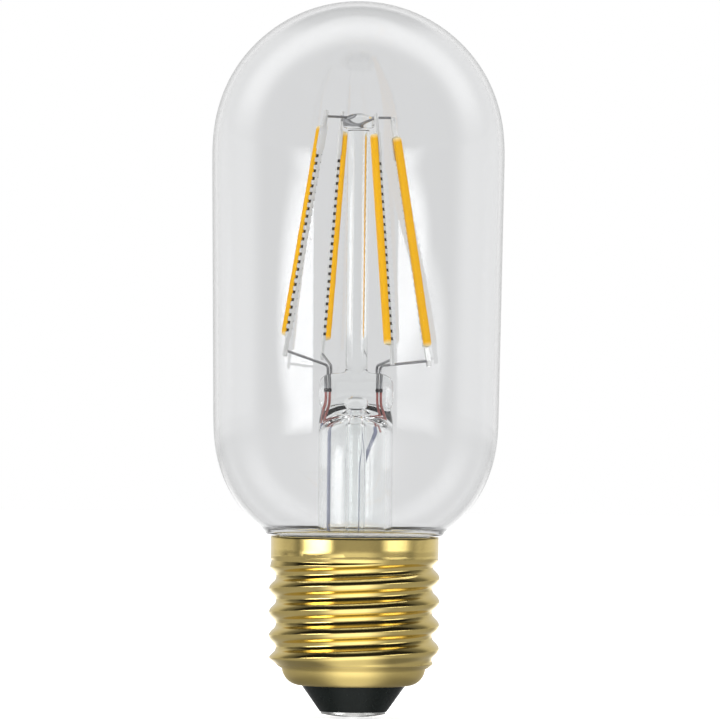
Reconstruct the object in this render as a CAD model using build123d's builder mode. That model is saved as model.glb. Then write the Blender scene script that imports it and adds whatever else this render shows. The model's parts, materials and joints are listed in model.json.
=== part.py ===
from build123d import *
import os
from math import asin, cos, sin, sqrt, tan

# A clear tubular lamp with four filaments on a glass stem and a rolled screw cap.
# Sizes are in millimetres. Heights count upward from the lowest point of the centre contact.

# Centre contact and insulator
contact_radius = 5.0
contact_height = 0.85
contact_edge = 0.35
shank_radius = 1.0
shank_length = 4.2
insulator_height = 4.0
insulator_base_radius = 5.15
flange_height = 1.45
flange_overlap = 0.2

# Screw shell, rolled from sheet
sheet_thickness = 0.3
lip_radius = 8.0
bowl_radius = 11.05
bowl_height = 3.15
step_rise = 1.4
thread_height = 15.15
collar_rise = 1.0
collar_height = 3.6
collar_radius = 12.9
collar_step = 0.85
bowl_bend = 2.85
step_bend = 1.0
collar_bend = 0.7
thread_pitch = 3.629
thread_depth = 1.05
first_crest_rise = 2.6
thread_turns = 5.0
# Thread wave as chords: half width in pitches, then height in thread depths
ridge_chords = ((0.06, 1.0), (0.16, 0.82), (0.30, 0.30), (0.42, 0.05))
groove_chords = ((0.05, 1.0), (0.30, 0.30), (0.40, 0.02))
thread_root_overlap = 1.4
runout_low = 0.7
runout_high = 1.0
runout_sink = 0.05
runout_cover = 0.01
runin_drop = 0.9
runin_rise = 0.5
runin_sink = 0.2

# Glass envelope
lamp_length = 110.0
bulb_radius = 22.5
side_taper = 0.6
shoulder_bend = 18.8
glass_wall = 0.8
neck_clearance = 0.25
neck_length = 7.75
rim_gap = 0.3
overhang = 1.0
overhang_edge = 0.55
overhang_bevel = 0.3
neck_bend = 0.6

# Cement ring between the neck and the collar
cement_low_gap = 0.55
cement_top_gap = 0.55

# Stem: flare tube, press, exhaust tube and support rod
flare_radius = 5.7
flare_wall = 1.1
flare_mouth_bend = 4.8
flare_shoulder_bend = 1.2
flare_roof_bend = 0.8
press_width = 11.5
press_thickness = 4.5
press_corner = 2.0
press_edge = 1.4
press_low = 46.0
press_height = 6.9
press_overlap = 0.4
roof_thickness = 0.4
exhaust_radius = 1.6
exhaust_bore_radius = 1.0
exhaust_tip_height = 13.0
exhaust_tip_wall = 1.4
blow_hole_rise = 2.3
blow_hole_width = 3.6
blow_hole_height = 2.1
rod_radius = 1.65
rod_socket = 1.4
button_radius = 2.45
button_height = 2.35
button_side = 1.3
button_foot_bend = 0.35

# Filaments
foot_rise = 4.0
foot_radius = 12.0
top_radius = 6.3
phosphor_length = 33.0
phosphor_width = 1.3
phosphor_height = 0.95
phosphor_round = 0.5
strip_width = 1.1
strip_thickness = 0.4
pin_length = 3.0
first_pin_trim = 0.6
pin_width = 0.7
tab_length = 3.7
tab_width = 1.5
notch_pitch = 1.18
notch_length = 0.5
notch_depth = 0.2
# Plan angle, slide along its own axis and twist about it, for each filament
filament_layout = {
    1: (205.0, 1.4, 30.0),
    2: (115.0, 0.9, -10.0),
    3: (295.0, 0.2, 0.0),
    4: (25.0, 0.0, 0.0),
}
upper_pins = {1: pin_length - first_pin_trim, 2: pin_length, 3: pin_length, 4: pin_length}

# Wires
wire_radius = 0.2
seal_radius = 0.175
outer_lead_radius = 0.3
left_lead_offset = 4.15
right_lead_offset = 3.4
pair_offset = 0.25
weld_rise = 4.2
lead_drop = 1.0
bend_rise = 1.1
lead_bend = 0.8
pin_weld_rise = 0.9
weld_overlap = 0.1
anchor_bend = 3.0
upper_anchor_inset = 0.1
upper_anchor_sag = 0.15
lower_anchor_inset = 0.4
lower_anchor_sag = 0.95
button_cover = 0.7

# Driver in the cap
board_width = 16.0
board_height = 12.5
board_thickness = 1.0
board_gap = 1.0
board_groove = 0.6
rectifier_size = (4.0, 4.7, 1.5)
rectifier_place = (-5.0, 7.0)
chip_size = (3.9, 4.9, 1.5)
chip_place = (-4.5, 6.0)
capacitor_radius = 3.15
capacitor_length = 5.5
capacitor_bead = 0.25
capacitor_place = (2.5, 6.0)
resistor_radius = 1.2
resistor_length = 4.5
resistor_place = (5.2, 5.0)
cap_wire_radius = 0.25
contact_wire_reach = 1.7
contact_wire_rise = 1.6
contact_wire_bend = 0.8
contact_wire_grip = 2.0
shell_wire_rise = 1.0
lead_stub = 1.2
right_lead_shift = 0.1
loose_tail = (0.25, 0.0, -1.1)
loose_tail_bend = 0.6
right_lead_turn = (1.2, 2.6)
right_lead_drop = 6.3
left_lead_turn = 7.5
lead_foot = 2.0
lead_run_bend = 4.0
lead_foot_bend = 2.0

# Levels and radii worked out from the sizes above
lip_height = contact_height + insulator_height
floor_height = lip_height + sheet_thickness + flange_height
bowl_top = lip_height + bowl_height
root_low = bowl_top + step_rise
root_top = bowl_top + thread_height
collar_low = root_top + collar_rise
rim_height = collar_low + collar_height
root_radius = collar_radius - collar_step
crest_radius = root_radius + thread_depth
thread_low = bowl_top + first_crest_rise - thread_pitch
flange_radius = lip_radius + flange_overlap
contact_hole_radius = shank_radius + 2 * cap_wire_radius

neck_radius = root_radius - sheet_thickness - neck_clearance
neck_bore = neck_radius - glass_wall
neck_end = rim_height - neck_length
overhang_radius = collar_radius + overhang
underside = rim_height + rim_gap
shoulder_radius = bulb_radius - side_taper
bend_centre = shoulder_radius - shoulder_bend
overhang_top = underside + overhang_edge
shoulder_height = overhang_top + sqrt(shoulder_bend**2 - (overhang_radius - bend_centre) ** 2)
inner_bend = shoulder_bend - glass_wall
neck_inside_top = shoulder_height - sqrt(inner_bend**2 - (neck_bore - bend_centre) ** 2)
dome_centre = lamp_length - bulb_radius
dome_bore = bulb_radius - glass_wall

press_top = press_low + press_height
flare_bore = flare_radius - flare_wall
flare_top = press_low + press_overlap
roof_height = press_low - roof_thickness
mouth_centre_height = neck_end + flare_mouth_bend
mouth_centre_radius = flare_radius + flare_mouth_bend
blow_hole_level = press_low + blow_hole_rise

foot_height = press_top + foot_rise
tilt = asin((foot_radius - top_radius) / phosphor_length)
filament_top = foot_height + (phosphor_length + pin_length) * cos(tilt)
upper_anchor_end = filament_top - upper_anchor_inset
lower_anchor_end = filament_top - lower_anchor_inset
upper_anchor_level = upper_anchor_end - upper_anchor_sag
lower_anchor_level = lower_anchor_end - lower_anchor_sag
button_top = upper_anchor_level + button_cover
button_low = button_top - button_height

weld_level = press_low + weld_rise
lead_top = press_low - lead_drop
board_front = exhaust_radius + board_gap
board_middle = board_front + board_thickness / 2
board_low = floor_height - board_groove
board_top = board_low + board_height

os.makedirs("parts", exist_ok=True)


def round_wire(route, bends, radius):
    """A round wire along straight runs that are joined by tangent arcs."""
    with BuildPart() as wire:
        with BuildLine() as path:
            FilletPolyline(*route, radius=bends)
        with BuildSketch(Plane(origin=path.line @ 0, z_dir=path.line % 0)):
            Circle(radius)
        sweep(path=path.line)
    return wire.part


def straight_wire(start, direction, length, radius):
    """A straight round wire from its start point."""
    with BuildPart() as wire:
        with BuildSketch(Plane(origin=start, z_dir=direction)):
            Circle(radius)
        extrude(amount=length)
    return wire.part


def thread_helix(inset, chords):
    """The thread wave swept along its helix, moved inward by inset and faded at both ends."""
    wave_root = root_radius - inset
    wave_limit = crest_radius - inset + runout_cover
    foot = wave_root - thread_root_overlap
    upper_side = [(wave_root + height * thread_depth, half * thread_pitch) for half, height in chords]
    lower_side = [(radius, -level) for radius, level in reversed(upper_side)]
    foot_level = chords[-1][0] * thread_pitch
    with BuildPart() as helix:
        with BuildLine() as path:
            Helix(thread_pitch, thread_pitch * thread_turns, wave_root, center=(0, 0, thread_low))
        with BuildSketch(Plane.XZ.shift_origin((0, 0, thread_low))) as wave:
            with BuildLine():
                Polyline((foot, -foot_level), *lower_side, *upper_side, (foot, foot_level), close=True)
            make_face()
        sweep(wave.sketch, path=path.line, is_frenet=True)
        with BuildSketch(Plane.XZ):
            with BuildLine():
                Polyline(
                    (0, bowl_top - runout_low),
                    (bowl_radius - inset - runout_sink, bowl_top - runout_low),
                    (wave_limit, bowl_top + runout_high),
                    (wave_limit, root_top - runin_drop),
                    (collar_radius - inset - runin_sink, collar_low + runin_rise),
                    (0, collar_low + runin_rise),
                    close=True,
                )
            make_face()
        revolve(axis=Axis.Z, mode=Mode.INTERSECT)
    return helix.part


def shell_form(inset):
    """The shell without its thread, filled up to its axis and moved inward by inset."""
    floor = lip_height + inset
    with BuildPart() as form:
        with BuildSketch(Plane.XZ):
            with BuildLine():
                FilletPolyline(
                    (0, floor),
                    (bowl_radius - inset, floor),
                    (bowl_radius - inset, bowl_top),
                    (root_radius - inset, root_low),
                    (root_radius - inset, root_top),
                    (collar_radius - inset, collar_low),
                    (collar_radius - inset, rim_height),
                    radius=[bowl_bend - inset, step_bend, step_bend, collar_bend, collar_bend],
                )
                Polyline((collar_radius - inset, rim_height), (0, rim_height), (0, floor))
            make_face()
        revolve(axis=Axis.Z)
    return form.part


def filament_plane(angle, slide, twist):
    """The face of a filament's strip: x runs up the strip, y points at the lamp axis."""
    outward = Vector(1, 0, 0).rotate(Axis.Z, angle)
    upward = Vector(0, 0, 1)
    origin = outward * (foot_radius - slide * tan(tilt)) + upward * (foot_height + slide)
    along = upward * cos(tilt) - outward * sin(tilt)
    facing = outward.cross(upward).rotate(Axis((0, 0, 0), along), twist)
    return Plane(origin=origin, x_dir=along, z_dir=facing)


def pin_weld(plane, along):
    """The place on a pin's inner edge where a wire is welded."""
    return plane.from_local_coords((along, pin_width / 2 - weld_overlap, -strip_thickness / 2))


# Cap: centre contact, insulator and screw shell
with BuildPart() as centre_contact:
    with BuildSketch(Plane.XZ):
        with BuildLine():
            Polyline(
                (contact_radius, contact_height - contact_edge),
                (contact_radius, contact_height),
                (shank_radius, contact_height),
                (shank_radius, contact_height + shank_length),
                (0, contact_height + shank_length),
                (0, 0),
            )
            dome_rise = contact_height - contact_edge
            RadiusArc(
                (0, 0),
                (contact_radius, dome_rise),
                -(contact_radius**2 + dome_rise**2) / (2 * dome_rise),
            )
        make_face()
    revolve(axis=Axis.Z)
centre_contact.part.label = "centre_contact"
export_step(centre_contact.part, "parts/centre_contact.step")

with BuildPart() as cap_insulator:
    with BuildSketch(Plane.XZ):
        with BuildLine():
            Polyline(
                (contact_hole_radius, contact_height),
                (insulator_base_radius, contact_height),
                (lip_radius, lip_height),
                (lip_radius, lip_height + sheet_thickness),
                (flange_radius, lip_height + sheet_thickness),
                (flange_radius, floor_height),
                (contact_hole_radius, floor_height),
                close=True,
            )
        make_face()
    revolve(axis=Axis.Z)
    with BuildSketch(Plane.XY.offset(floor_height)):
        with Locations((0, board_middle)):
            Rectangle(board_width, board_thickness)
    extrude(amount=-board_groove, mode=Mode.SUBTRACT)
cap_insulator.part.label = "cap_insulator"
export_step(cap_insulator.part, "parts/cap_insulator.step")

thread_ridge = thread_helix(0, ridge_chords)
thread_groove = thread_helix(sheet_thickness, groove_chords)
with BuildPart() as screw_shell:
    add(shell_form(0))
    add(thread_ridge)
    add(shell_form(sheet_thickness), mode=Mode.SUBTRACT)
    add(thread_groove, mode=Mode.SUBTRACT)
    with BuildSketch(Plane.XY.offset(lip_height)):
        Circle(lip_radius)
    extrude(amount=sheet_thickness, mode=Mode.SUBTRACT)
screw_shell.part.label = "screw_shell"
export_step(screw_shell.part, "parts/screw_shell.step")

# Glass envelope and the cement that holds it in the collar
with BuildPart() as glass_envelope:
    with BuildSketch(Plane.XZ):
        with BuildLine():
            RadiusArc((0, lamp_length), (bulb_radius, dome_centre), bulb_radius)
            Line((bulb_radius, dome_centre), (shoulder_radius, shoulder_height))
            RadiusArc((shoulder_radius, shoulder_height), (overhang_radius, overhang_top), shoulder_bend)
            Polyline(
                (overhang_radius, overhang_top),
                (overhang_radius - overhang_bevel, underside),
                (neck_radius + neck_bend, underside),
            )
            RadiusArc((neck_radius + neck_bend, underside), (neck_radius, underside - neck_bend), -neck_bend)
            Polyline(
                (neck_radius, underside - neck_bend),
                (neck_radius, neck_end),
                (neck_bore, neck_end),
                (neck_bore, neck_inside_top),
            )
            RadiusArc(
                (neck_bore, neck_inside_top),
                (shoulder_radius - glass_wall, shoulder_height),
                -inner_bend,
            )
            Line((shoulder_radius - glass_wall, shoulder_height), (dome_bore, dome_centre))
            RadiusArc((dome_bore, dome_centre), (0, lamp_length - glass_wall), -dome_bore)
            Line((0, lamp_length - glass_wall), (0, lamp_length))
        make_face()
    revolve(axis=Axis.Z)
glass_envelope.part.label = "glass_envelope"
export_step(glass_envelope.part, "parts/glass_envelope.step")

cement_low = collar_low + cement_low_gap
cement_height = rim_height - cement_top_gap - cement_low
with BuildPart() as cap_cement:
    with BuildSketch(Plane.XY.offset(cement_low)):
        Circle(collar_radius - sheet_thickness)
        Circle(neck_radius, mode=Mode.SUBTRACT)
    extrude(amount=cement_height)
cap_cement.part.label = "cap_cement"
export_step(cap_cement.part, "parts/cap_cement.step")

# Filaments: a notched metal strip with pins, and the phosphor coat on one face
planes = {number: filament_plane(*layout) for number, layout in filament_layout.items()}
strips = {}
for number, plane in planes.items():
    notched_length = phosphor_length - tab_length
    notch_count = int(notched_length / notch_pitch)
    with BuildPart() as filament_strip:
        with BuildSketch(plane):
            with Locations((phosphor_length / 2, 0)):
                Rectangle(phosphor_length, strip_width)
            with Locations((notched_length / 2, 0)):
                with GridLocations(notch_pitch, strip_width, notch_count, 2):
                    Rectangle(notch_length, 2 * notch_depth, mode=Mode.SUBTRACT)
            with Locations((phosphor_length - tab_length / 2, 0)):
                Rectangle(tab_length, tab_width)
            with Locations((-pin_length / 2, 0)):
                Rectangle(pin_length, pin_width)
            with Locations((phosphor_length + upper_pins[number] / 2, 0)):
                Rectangle(upper_pins[number], pin_width)
        extrude(amount=-strip_thickness)
    filament_strip.part.label = f"filament_strip_{number}"
    export_step(filament_strip.part, f"parts/filament_strip_{number}.step")
    strips[number] = filament_strip.part

    with BuildPart() as filament_phosphor:
        with BuildSketch(plane):
            with Locations((phosphor_length / 2, 0)):
                SlotOverall(phosphor_length, phosphor_width)
        extrude(amount=phosphor_height)
        crown = filament_phosphor.faces().sort_by(Axis(plane.origin, plane.z_dir))[-1]
        fillet(crown.edges(), radius=phosphor_round)
    filament_phosphor.part.label = f"filament_phosphor_{number}"
    export_step(filament_phosphor.part, f"parts/filament_phosphor_{number}.step")

# Lead wires: a nickel wire from each filament, its seal wire through the press, one outer lead a side
lead_places = {
    1: -left_lead_offset - pair_offset,
    2: -left_lead_offset + pair_offset,
    3: right_lead_offset - pair_offset,
    4: right_lead_offset + pair_offset,
}
tied_wires = (1, 2, 3)
sealed_wires = []
for number, place in lead_places.items():
    pin_end = pin_weld(planes[number], pin_weld_rise - pin_length)
    run = round_wire(
        [(place, 0, weld_level), (place, 0, press_top + bend_rise), pin_end],
        lead_bend,
        wire_radius,
    )
    with BuildPart() as inner_lead:
        add(run)
        add(strips[number], mode=Mode.SUBTRACT)
    inner_lead.part.label = f"inner_lead_{number}"
    export_step(inner_lead.part, f"parts/inner_lead_{number}.step")

    if number in tied_wires:
        seal_wire = straight_wire((place, 0, lead_top), (0, 0, 1), weld_level - lead_top, seal_radius)
    else:
        tail_start = Vector(place, 0, lead_top)
        seal_wire = round_wire(
            [(place, 0, weld_level), tail_start, tail_start + loose_tail],
            loose_tail_bend,
            seal_radius,
        )
    seal_wire.label = f"seal_wire_{number}"
    export_step(seal_wire, f"parts/seal_wire_{number}.step")
    sealed_wires += [inner_lead.part, seal_wire]

left_turn_height = board_top + left_lead_turn
right_lead_start = lead_places[3] - right_lead_shift
outer_lead_routes = {
    "outer_lead_left": (
        [
            (-left_lead_offset, 0, lead_top),
            (-left_lead_offset, 0, left_turn_height),
            (-left_lead_offset, board_middle, board_top + lead_foot),
            (-left_lead_offset, board_middle, board_top),
        ],
        [lead_run_bend, lead_foot_bend],
    ),
    "outer_lead_right": (
        [
            (right_lead_start, 0, lead_top),
            (right_lead_start, 0, lead_top - lead_stub),
            (*right_lead_turn, lead_top - right_lead_drop),
            (right_lead_turn[0], board_middle, board_top + lead_foot),
            (right_lead_turn[0], board_middle, board_top),
        ],
        [lead_bend, lead_run_bend, lead_foot_bend],
    ),
}
for name, (route, bends) in outer_lead_routes.items():
    outer_lead = round_wire(route, bends, outer_lead_radius)
    outer_lead.label = name
    export_step(outer_lead, f"parts/{name}.step")

# Anchor wires: each joins two opposite filaments through the glass button
anchor_wires = []
for name, (left, right), end_height, level in (
    ("upper_anchor_wire", (1, 4), upper_anchor_end, upper_anchor_level),
    ("lower_anchor_wire", (2, 3), lower_anchor_end, lower_anchor_level),
):
    ends = [
        pin_weld(planes[number], (end_height - planes[number].origin.Z) / cos(tilt))
        for number in (left, right)
    ]
    run = round_wire([ends[0], (0, 0, level), ends[1]], anchor_bend, wire_radius)
    with BuildPart() as anchor_wire:
        add(run)
        add(strips[left], mode=Mode.SUBTRACT)
        add(strips[right], mode=Mode.SUBTRACT)
    anchor_wire.part.label = name
    export_step(anchor_wire.part, f"parts/{name}.step")
    anchor_wires.append(anchor_wire.part)

# Glass stem: flare tube pressed flat at its top, exhaust tube and support rod
with BuildPart() as stem_flare:
    with BuildSketch(Plane.XZ):
        with Locations((0, press_low + press_height / 2)):
            RectangleRounded(press_width, press_height, press_corner)
    extrude(amount=press_thickness / 2, both=True)
    fillet(stem_flare.faces().filter_by(Axis.Y).edges(), radius=press_edge)
    with BuildSketch(Plane.XZ):
        with BuildLine():
            Polyline(
                (0, roof_height),
                (0, flare_top),
                (flare_radius - flare_shoulder_bend, flare_top),
            )
            RadiusArc(
                (flare_radius - flare_shoulder_bend, flare_top),
                (flare_radius, flare_top - flare_shoulder_bend),
                flare_shoulder_bend,
            )
            Line((flare_radius, flare_top - flare_shoulder_bend), (flare_radius, mouth_centre_height))
            RadiusArc(
                (flare_radius, mouth_centre_height),
                (mouth_centre_radius, neck_end),
                -flare_mouth_bend,
            )
            Polyline(
                (mouth_centre_radius, neck_end),
                (neck_radius, neck_end),
                (neck_radius, neck_end - flare_wall),
                (mouth_centre_radius, neck_end - flare_wall),
            )
            RadiusArc(
                (mouth_centre_radius, neck_end - flare_wall),
                (flare_bore, mouth_centre_height),
                flare_mouth_bend + flare_wall,
            )
            Line((flare_bore, mouth_centre_height), (flare_bore, roof_height - flare_roof_bend))
            RadiusArc(
                (flare_bore, roof_height - flare_roof_bend),
                (flare_bore - flare_roof_bend, roof_height),
                -flare_roof_bend,
            )
            Line((flare_bore - flare_roof_bend, roof_height), (0, roof_height))
        make_face()
    revolve(axis=Axis.Z)
    with BuildSketch(Plane.XY.offset(roof_height)):
        Circle(exhaust_radius)
    extrude(amount=press_low - roof_height, mode=Mode.SUBTRACT)
    with BuildSketch(Plane.XY.offset(press_low)):
        Circle(exhaust_bore_radius)
    extrude(amount=blow_hole_rise, mode=Mode.SUBTRACT)
    with BuildSketch(Plane.XZ):
        with Locations((0, blow_hole_level)):
            Ellipse(blow_hole_width / 2, blow_hole_height / 2)
    extrude(amount=press_thickness, mode=Mode.SUBTRACT)
    with BuildSketch(Plane.XY.offset(press_top)):
        Circle(rod_radius)
    extrude(amount=-rod_socket, mode=Mode.SUBTRACT)
    for wire in sealed_wires:
        add(wire, mode=Mode.SUBTRACT)
stem_flare.part.label = "stem_flare"
export_step(stem_flare.part, "parts/stem_flare.step")

with BuildPart() as exhaust_tube:
    with BuildSketch(Plane.XZ):
        with BuildLine():
            RadiusArc(
                (0, exhaust_tip_height),
                (exhaust_radius, exhaust_tip_height + exhaust_radius),
                -exhaust_radius,
            )
            Polyline(
                (exhaust_radius, exhaust_tip_height + exhaust_radius),
                (exhaust_radius, press_low),
                (exhaust_bore_radius, press_low),
                (exhaust_bore_radius, exhaust_tip_height + exhaust_tip_wall + exhaust_bore_radius),
            )
            RadiusArc(
                (exhaust_bore_radius, exhaust_tip_height + exhaust_tip_wall + exhaust_bore_radius),
                (0, exhaust_tip_height + exhaust_tip_wall),
                exhaust_bore_radius,
            )
            Line((0, exhaust_tip_height + exhaust_tip_wall), (0, exhaust_tip_height))
        make_face()
    revolve(axis=Axis.Z)
exhaust_tube.part.label = "exhaust_tube"
export_step(exhaust_tube.part, "parts/exhaust_tube.step")

with BuildPart() as support_rod:
    with BuildSketch(Plane.XZ):
        with BuildLine():
            side_top = button_low + button_side
            crown_rise = button_top - side_top
            Polyline(
                (0, button_top),
                (0, press_top - rod_socket),
                (rod_radius, press_top - rod_socket),
                (rod_radius, button_low),
                (button_radius - button_foot_bend, button_low),
            )
            RadiusArc(
                (button_radius - button_foot_bend, button_low),
                (button_radius, button_low + button_foot_bend),
                -button_foot_bend,
            )
            Line((button_radius, button_low + button_foot_bend), (button_radius, side_top))
            RadiusArc(
                (button_radius, side_top),
                (0, button_top),
                -(button_radius**2 + crown_rise**2) / (2 * crown_rise),
            )
        make_face()
    revolve(axis=Axis.Z)
    for wire in anchor_wires:
        add(wire, mode=Mode.SUBTRACT)
support_rod.part.label = "support_rod"
export_step(support_rod.part, "parts/support_rod.step")

# Driver: an upright board in the insulator's groove, with its components and the cap's two wires
front_plane = Plane(origin=(0, board_front, board_low), x_dir=(1, 0, 0), z_dir=(0, -1, 0))
back_plane = Plane(origin=(0, board_front + board_thickness, board_low), x_dir=(-1, 0, 0), z_dir=(0, 1, 0))

with BuildPart() as driver_board:
    with BuildSketch(front_plane):
        with Locations((0, board_height / 2)):
            Rectangle(board_width, board_height)
    extrude(amount=-board_thickness)
driver_board.part.label = "driver_board"
export_step(driver_board.part, "parts/driver_board.step")

with BuildPart() as rectifier:
    with BuildSketch(front_plane):
        with Locations(rectifier_place):
            Rectangle(rectifier_size[0], rectifier_size[1])
    extrude(amount=rectifier_size[2])
rectifier.part.label = "rectifier"
export_step(rectifier.part, "parts/rectifier.step")

with BuildPart() as driver_chip:
    with BuildSketch(back_plane):
        with Locations((-chip_place[0], chip_place[1])):
            Rectangle(chip_size[0], chip_size[1])
    extrude(amount=chip_size[2])
driver_chip.part.label = "driver_chip"
export_step(driver_chip.part, "parts/driver_chip.step")

with BuildPart() as smoothing_capacitor:
    with BuildSketch(back_plane):
        with Locations((-capacitor_place[0], capacitor_place[1])):
            Circle(capacitor_radius)
    extrude(amount=capacitor_length)
    fillet(smoothing_capacitor.faces().sort_by(Axis.Y)[-1].edges(), radius=capacitor_bead)
smoothing_capacitor.part.label = "smoothing_capacitor"
export_step(smoothing_capacitor.part, "parts/smoothing_capacitor.step")

with BuildPart() as fuse_resistor:
    with BuildSketch(front_plane):
        with Locations(resistor_place):
            Circle(resistor_radius)
    extrude(amount=resistor_length)
fuse_resistor.part.label = "fuse_resistor"
export_step(fuse_resistor.part, "parts/fuse_resistor.step")

resistor_end = front_plane.from_local_coords((*resistor_place, resistor_length))
hole_place = shank_radius + cap_wire_radius
contact_wire = round_wire(
    [
        resistor_end,
        resistor_end - (0, contact_wire_reach, 0),
        (0, -hole_place, floor_height + contact_wire_rise),
        (0, -hole_place, contact_height + contact_wire_grip),
    ],
    contact_wire_bend,
    cap_wire_radius,
)
contact_wire.label = "contact_wire"
export_step(contact_wire, "parts/contact_wire.step")

shell_wire_level = board_low + shell_wire_rise
bowl_centre = lip_height + bowl_bend
seat_reach = sqrt((bowl_bend - sheet_thickness) ** 2 - (bowl_centre - shell_wire_level) ** 2)
shell_seat_radius = bowl_radius - bowl_bend + seat_reach
shell_wire_start = (-board_width / 2, board_middle, shell_wire_level)
shell_wire_reach = sqrt(shell_seat_radius**2 - board_middle**2) - board_width / 2
shell_run = straight_wire(shell_wire_start, (-1, 0, 0), shell_wire_reach, cap_wire_radius)
with BuildPart() as shell_wire:
    add(shell_run)
    add(screw_shell.part, mode=Mode.SUBTRACT)
shell_wire.part.label = "shell_wire"
export_step(shell_wire.part, "parts/shell_wire.step")
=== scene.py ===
"""Looks of a clear tubular lamp: blown glass, a glass stem, four filaments and a rolled brass cap.

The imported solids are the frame. The glass and the brass shell get finer meshes in the same place,
the other solids keep their shape, and every surface gets a procedural finish.
"""

from __future__ import annotations

import json
import logging
import math
from dataclasses import dataclass, field, replace
from enum import Enum

import bmesh
import bpy
from mathutils import Matrix, Vector, noise

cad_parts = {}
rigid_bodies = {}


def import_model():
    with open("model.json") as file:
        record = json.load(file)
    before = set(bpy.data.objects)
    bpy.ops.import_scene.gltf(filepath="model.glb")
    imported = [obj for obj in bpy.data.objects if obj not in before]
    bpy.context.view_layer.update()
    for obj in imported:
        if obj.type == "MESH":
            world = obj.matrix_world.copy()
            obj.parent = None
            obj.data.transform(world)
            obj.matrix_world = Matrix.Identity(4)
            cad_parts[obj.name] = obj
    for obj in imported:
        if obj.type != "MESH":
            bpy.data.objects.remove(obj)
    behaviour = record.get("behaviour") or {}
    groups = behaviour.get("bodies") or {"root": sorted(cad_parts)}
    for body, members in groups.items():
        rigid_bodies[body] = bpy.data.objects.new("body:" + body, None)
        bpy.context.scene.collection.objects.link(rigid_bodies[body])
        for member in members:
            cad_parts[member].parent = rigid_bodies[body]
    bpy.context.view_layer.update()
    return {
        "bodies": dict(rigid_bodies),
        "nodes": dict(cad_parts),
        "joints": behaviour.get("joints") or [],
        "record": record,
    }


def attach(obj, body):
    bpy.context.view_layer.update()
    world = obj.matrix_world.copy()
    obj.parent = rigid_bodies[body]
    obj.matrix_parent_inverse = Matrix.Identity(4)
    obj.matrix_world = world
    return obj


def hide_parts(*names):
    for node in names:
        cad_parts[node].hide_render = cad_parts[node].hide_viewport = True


LOG = logging.getLogger("tubular_lamp")
MM = 0.001
WELD = 0.002 * MM
BODY = "root"
Colour = tuple[float, float, float]
Point = tuple[float, float]


class Slot(Enum):
    """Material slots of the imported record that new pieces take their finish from."""

    CLEAR_GLASS = "clear_glass"
    STEM_GLASS = "stem_glass"
    BRASS = "brass_sheet"
    PHOSPHOR = "phosphor"
    STRIP = "strip_metal"
    NICKEL_WIRE = "nickel_wire"


class Ray(Enum):
    """Light Path outputs that the studio tells apart."""

    CAMERA = "Is Camera Ray"
    DEPTH = "Ray Depth"
    GLOSSY = "Is Glossy Ray"
    SHADOW = "Is Shadow Ray"
    SINGULAR = "Is Singular Ray"
    TRANSMISSION = "Is Transmission Ray"


# Node helpers


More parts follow.
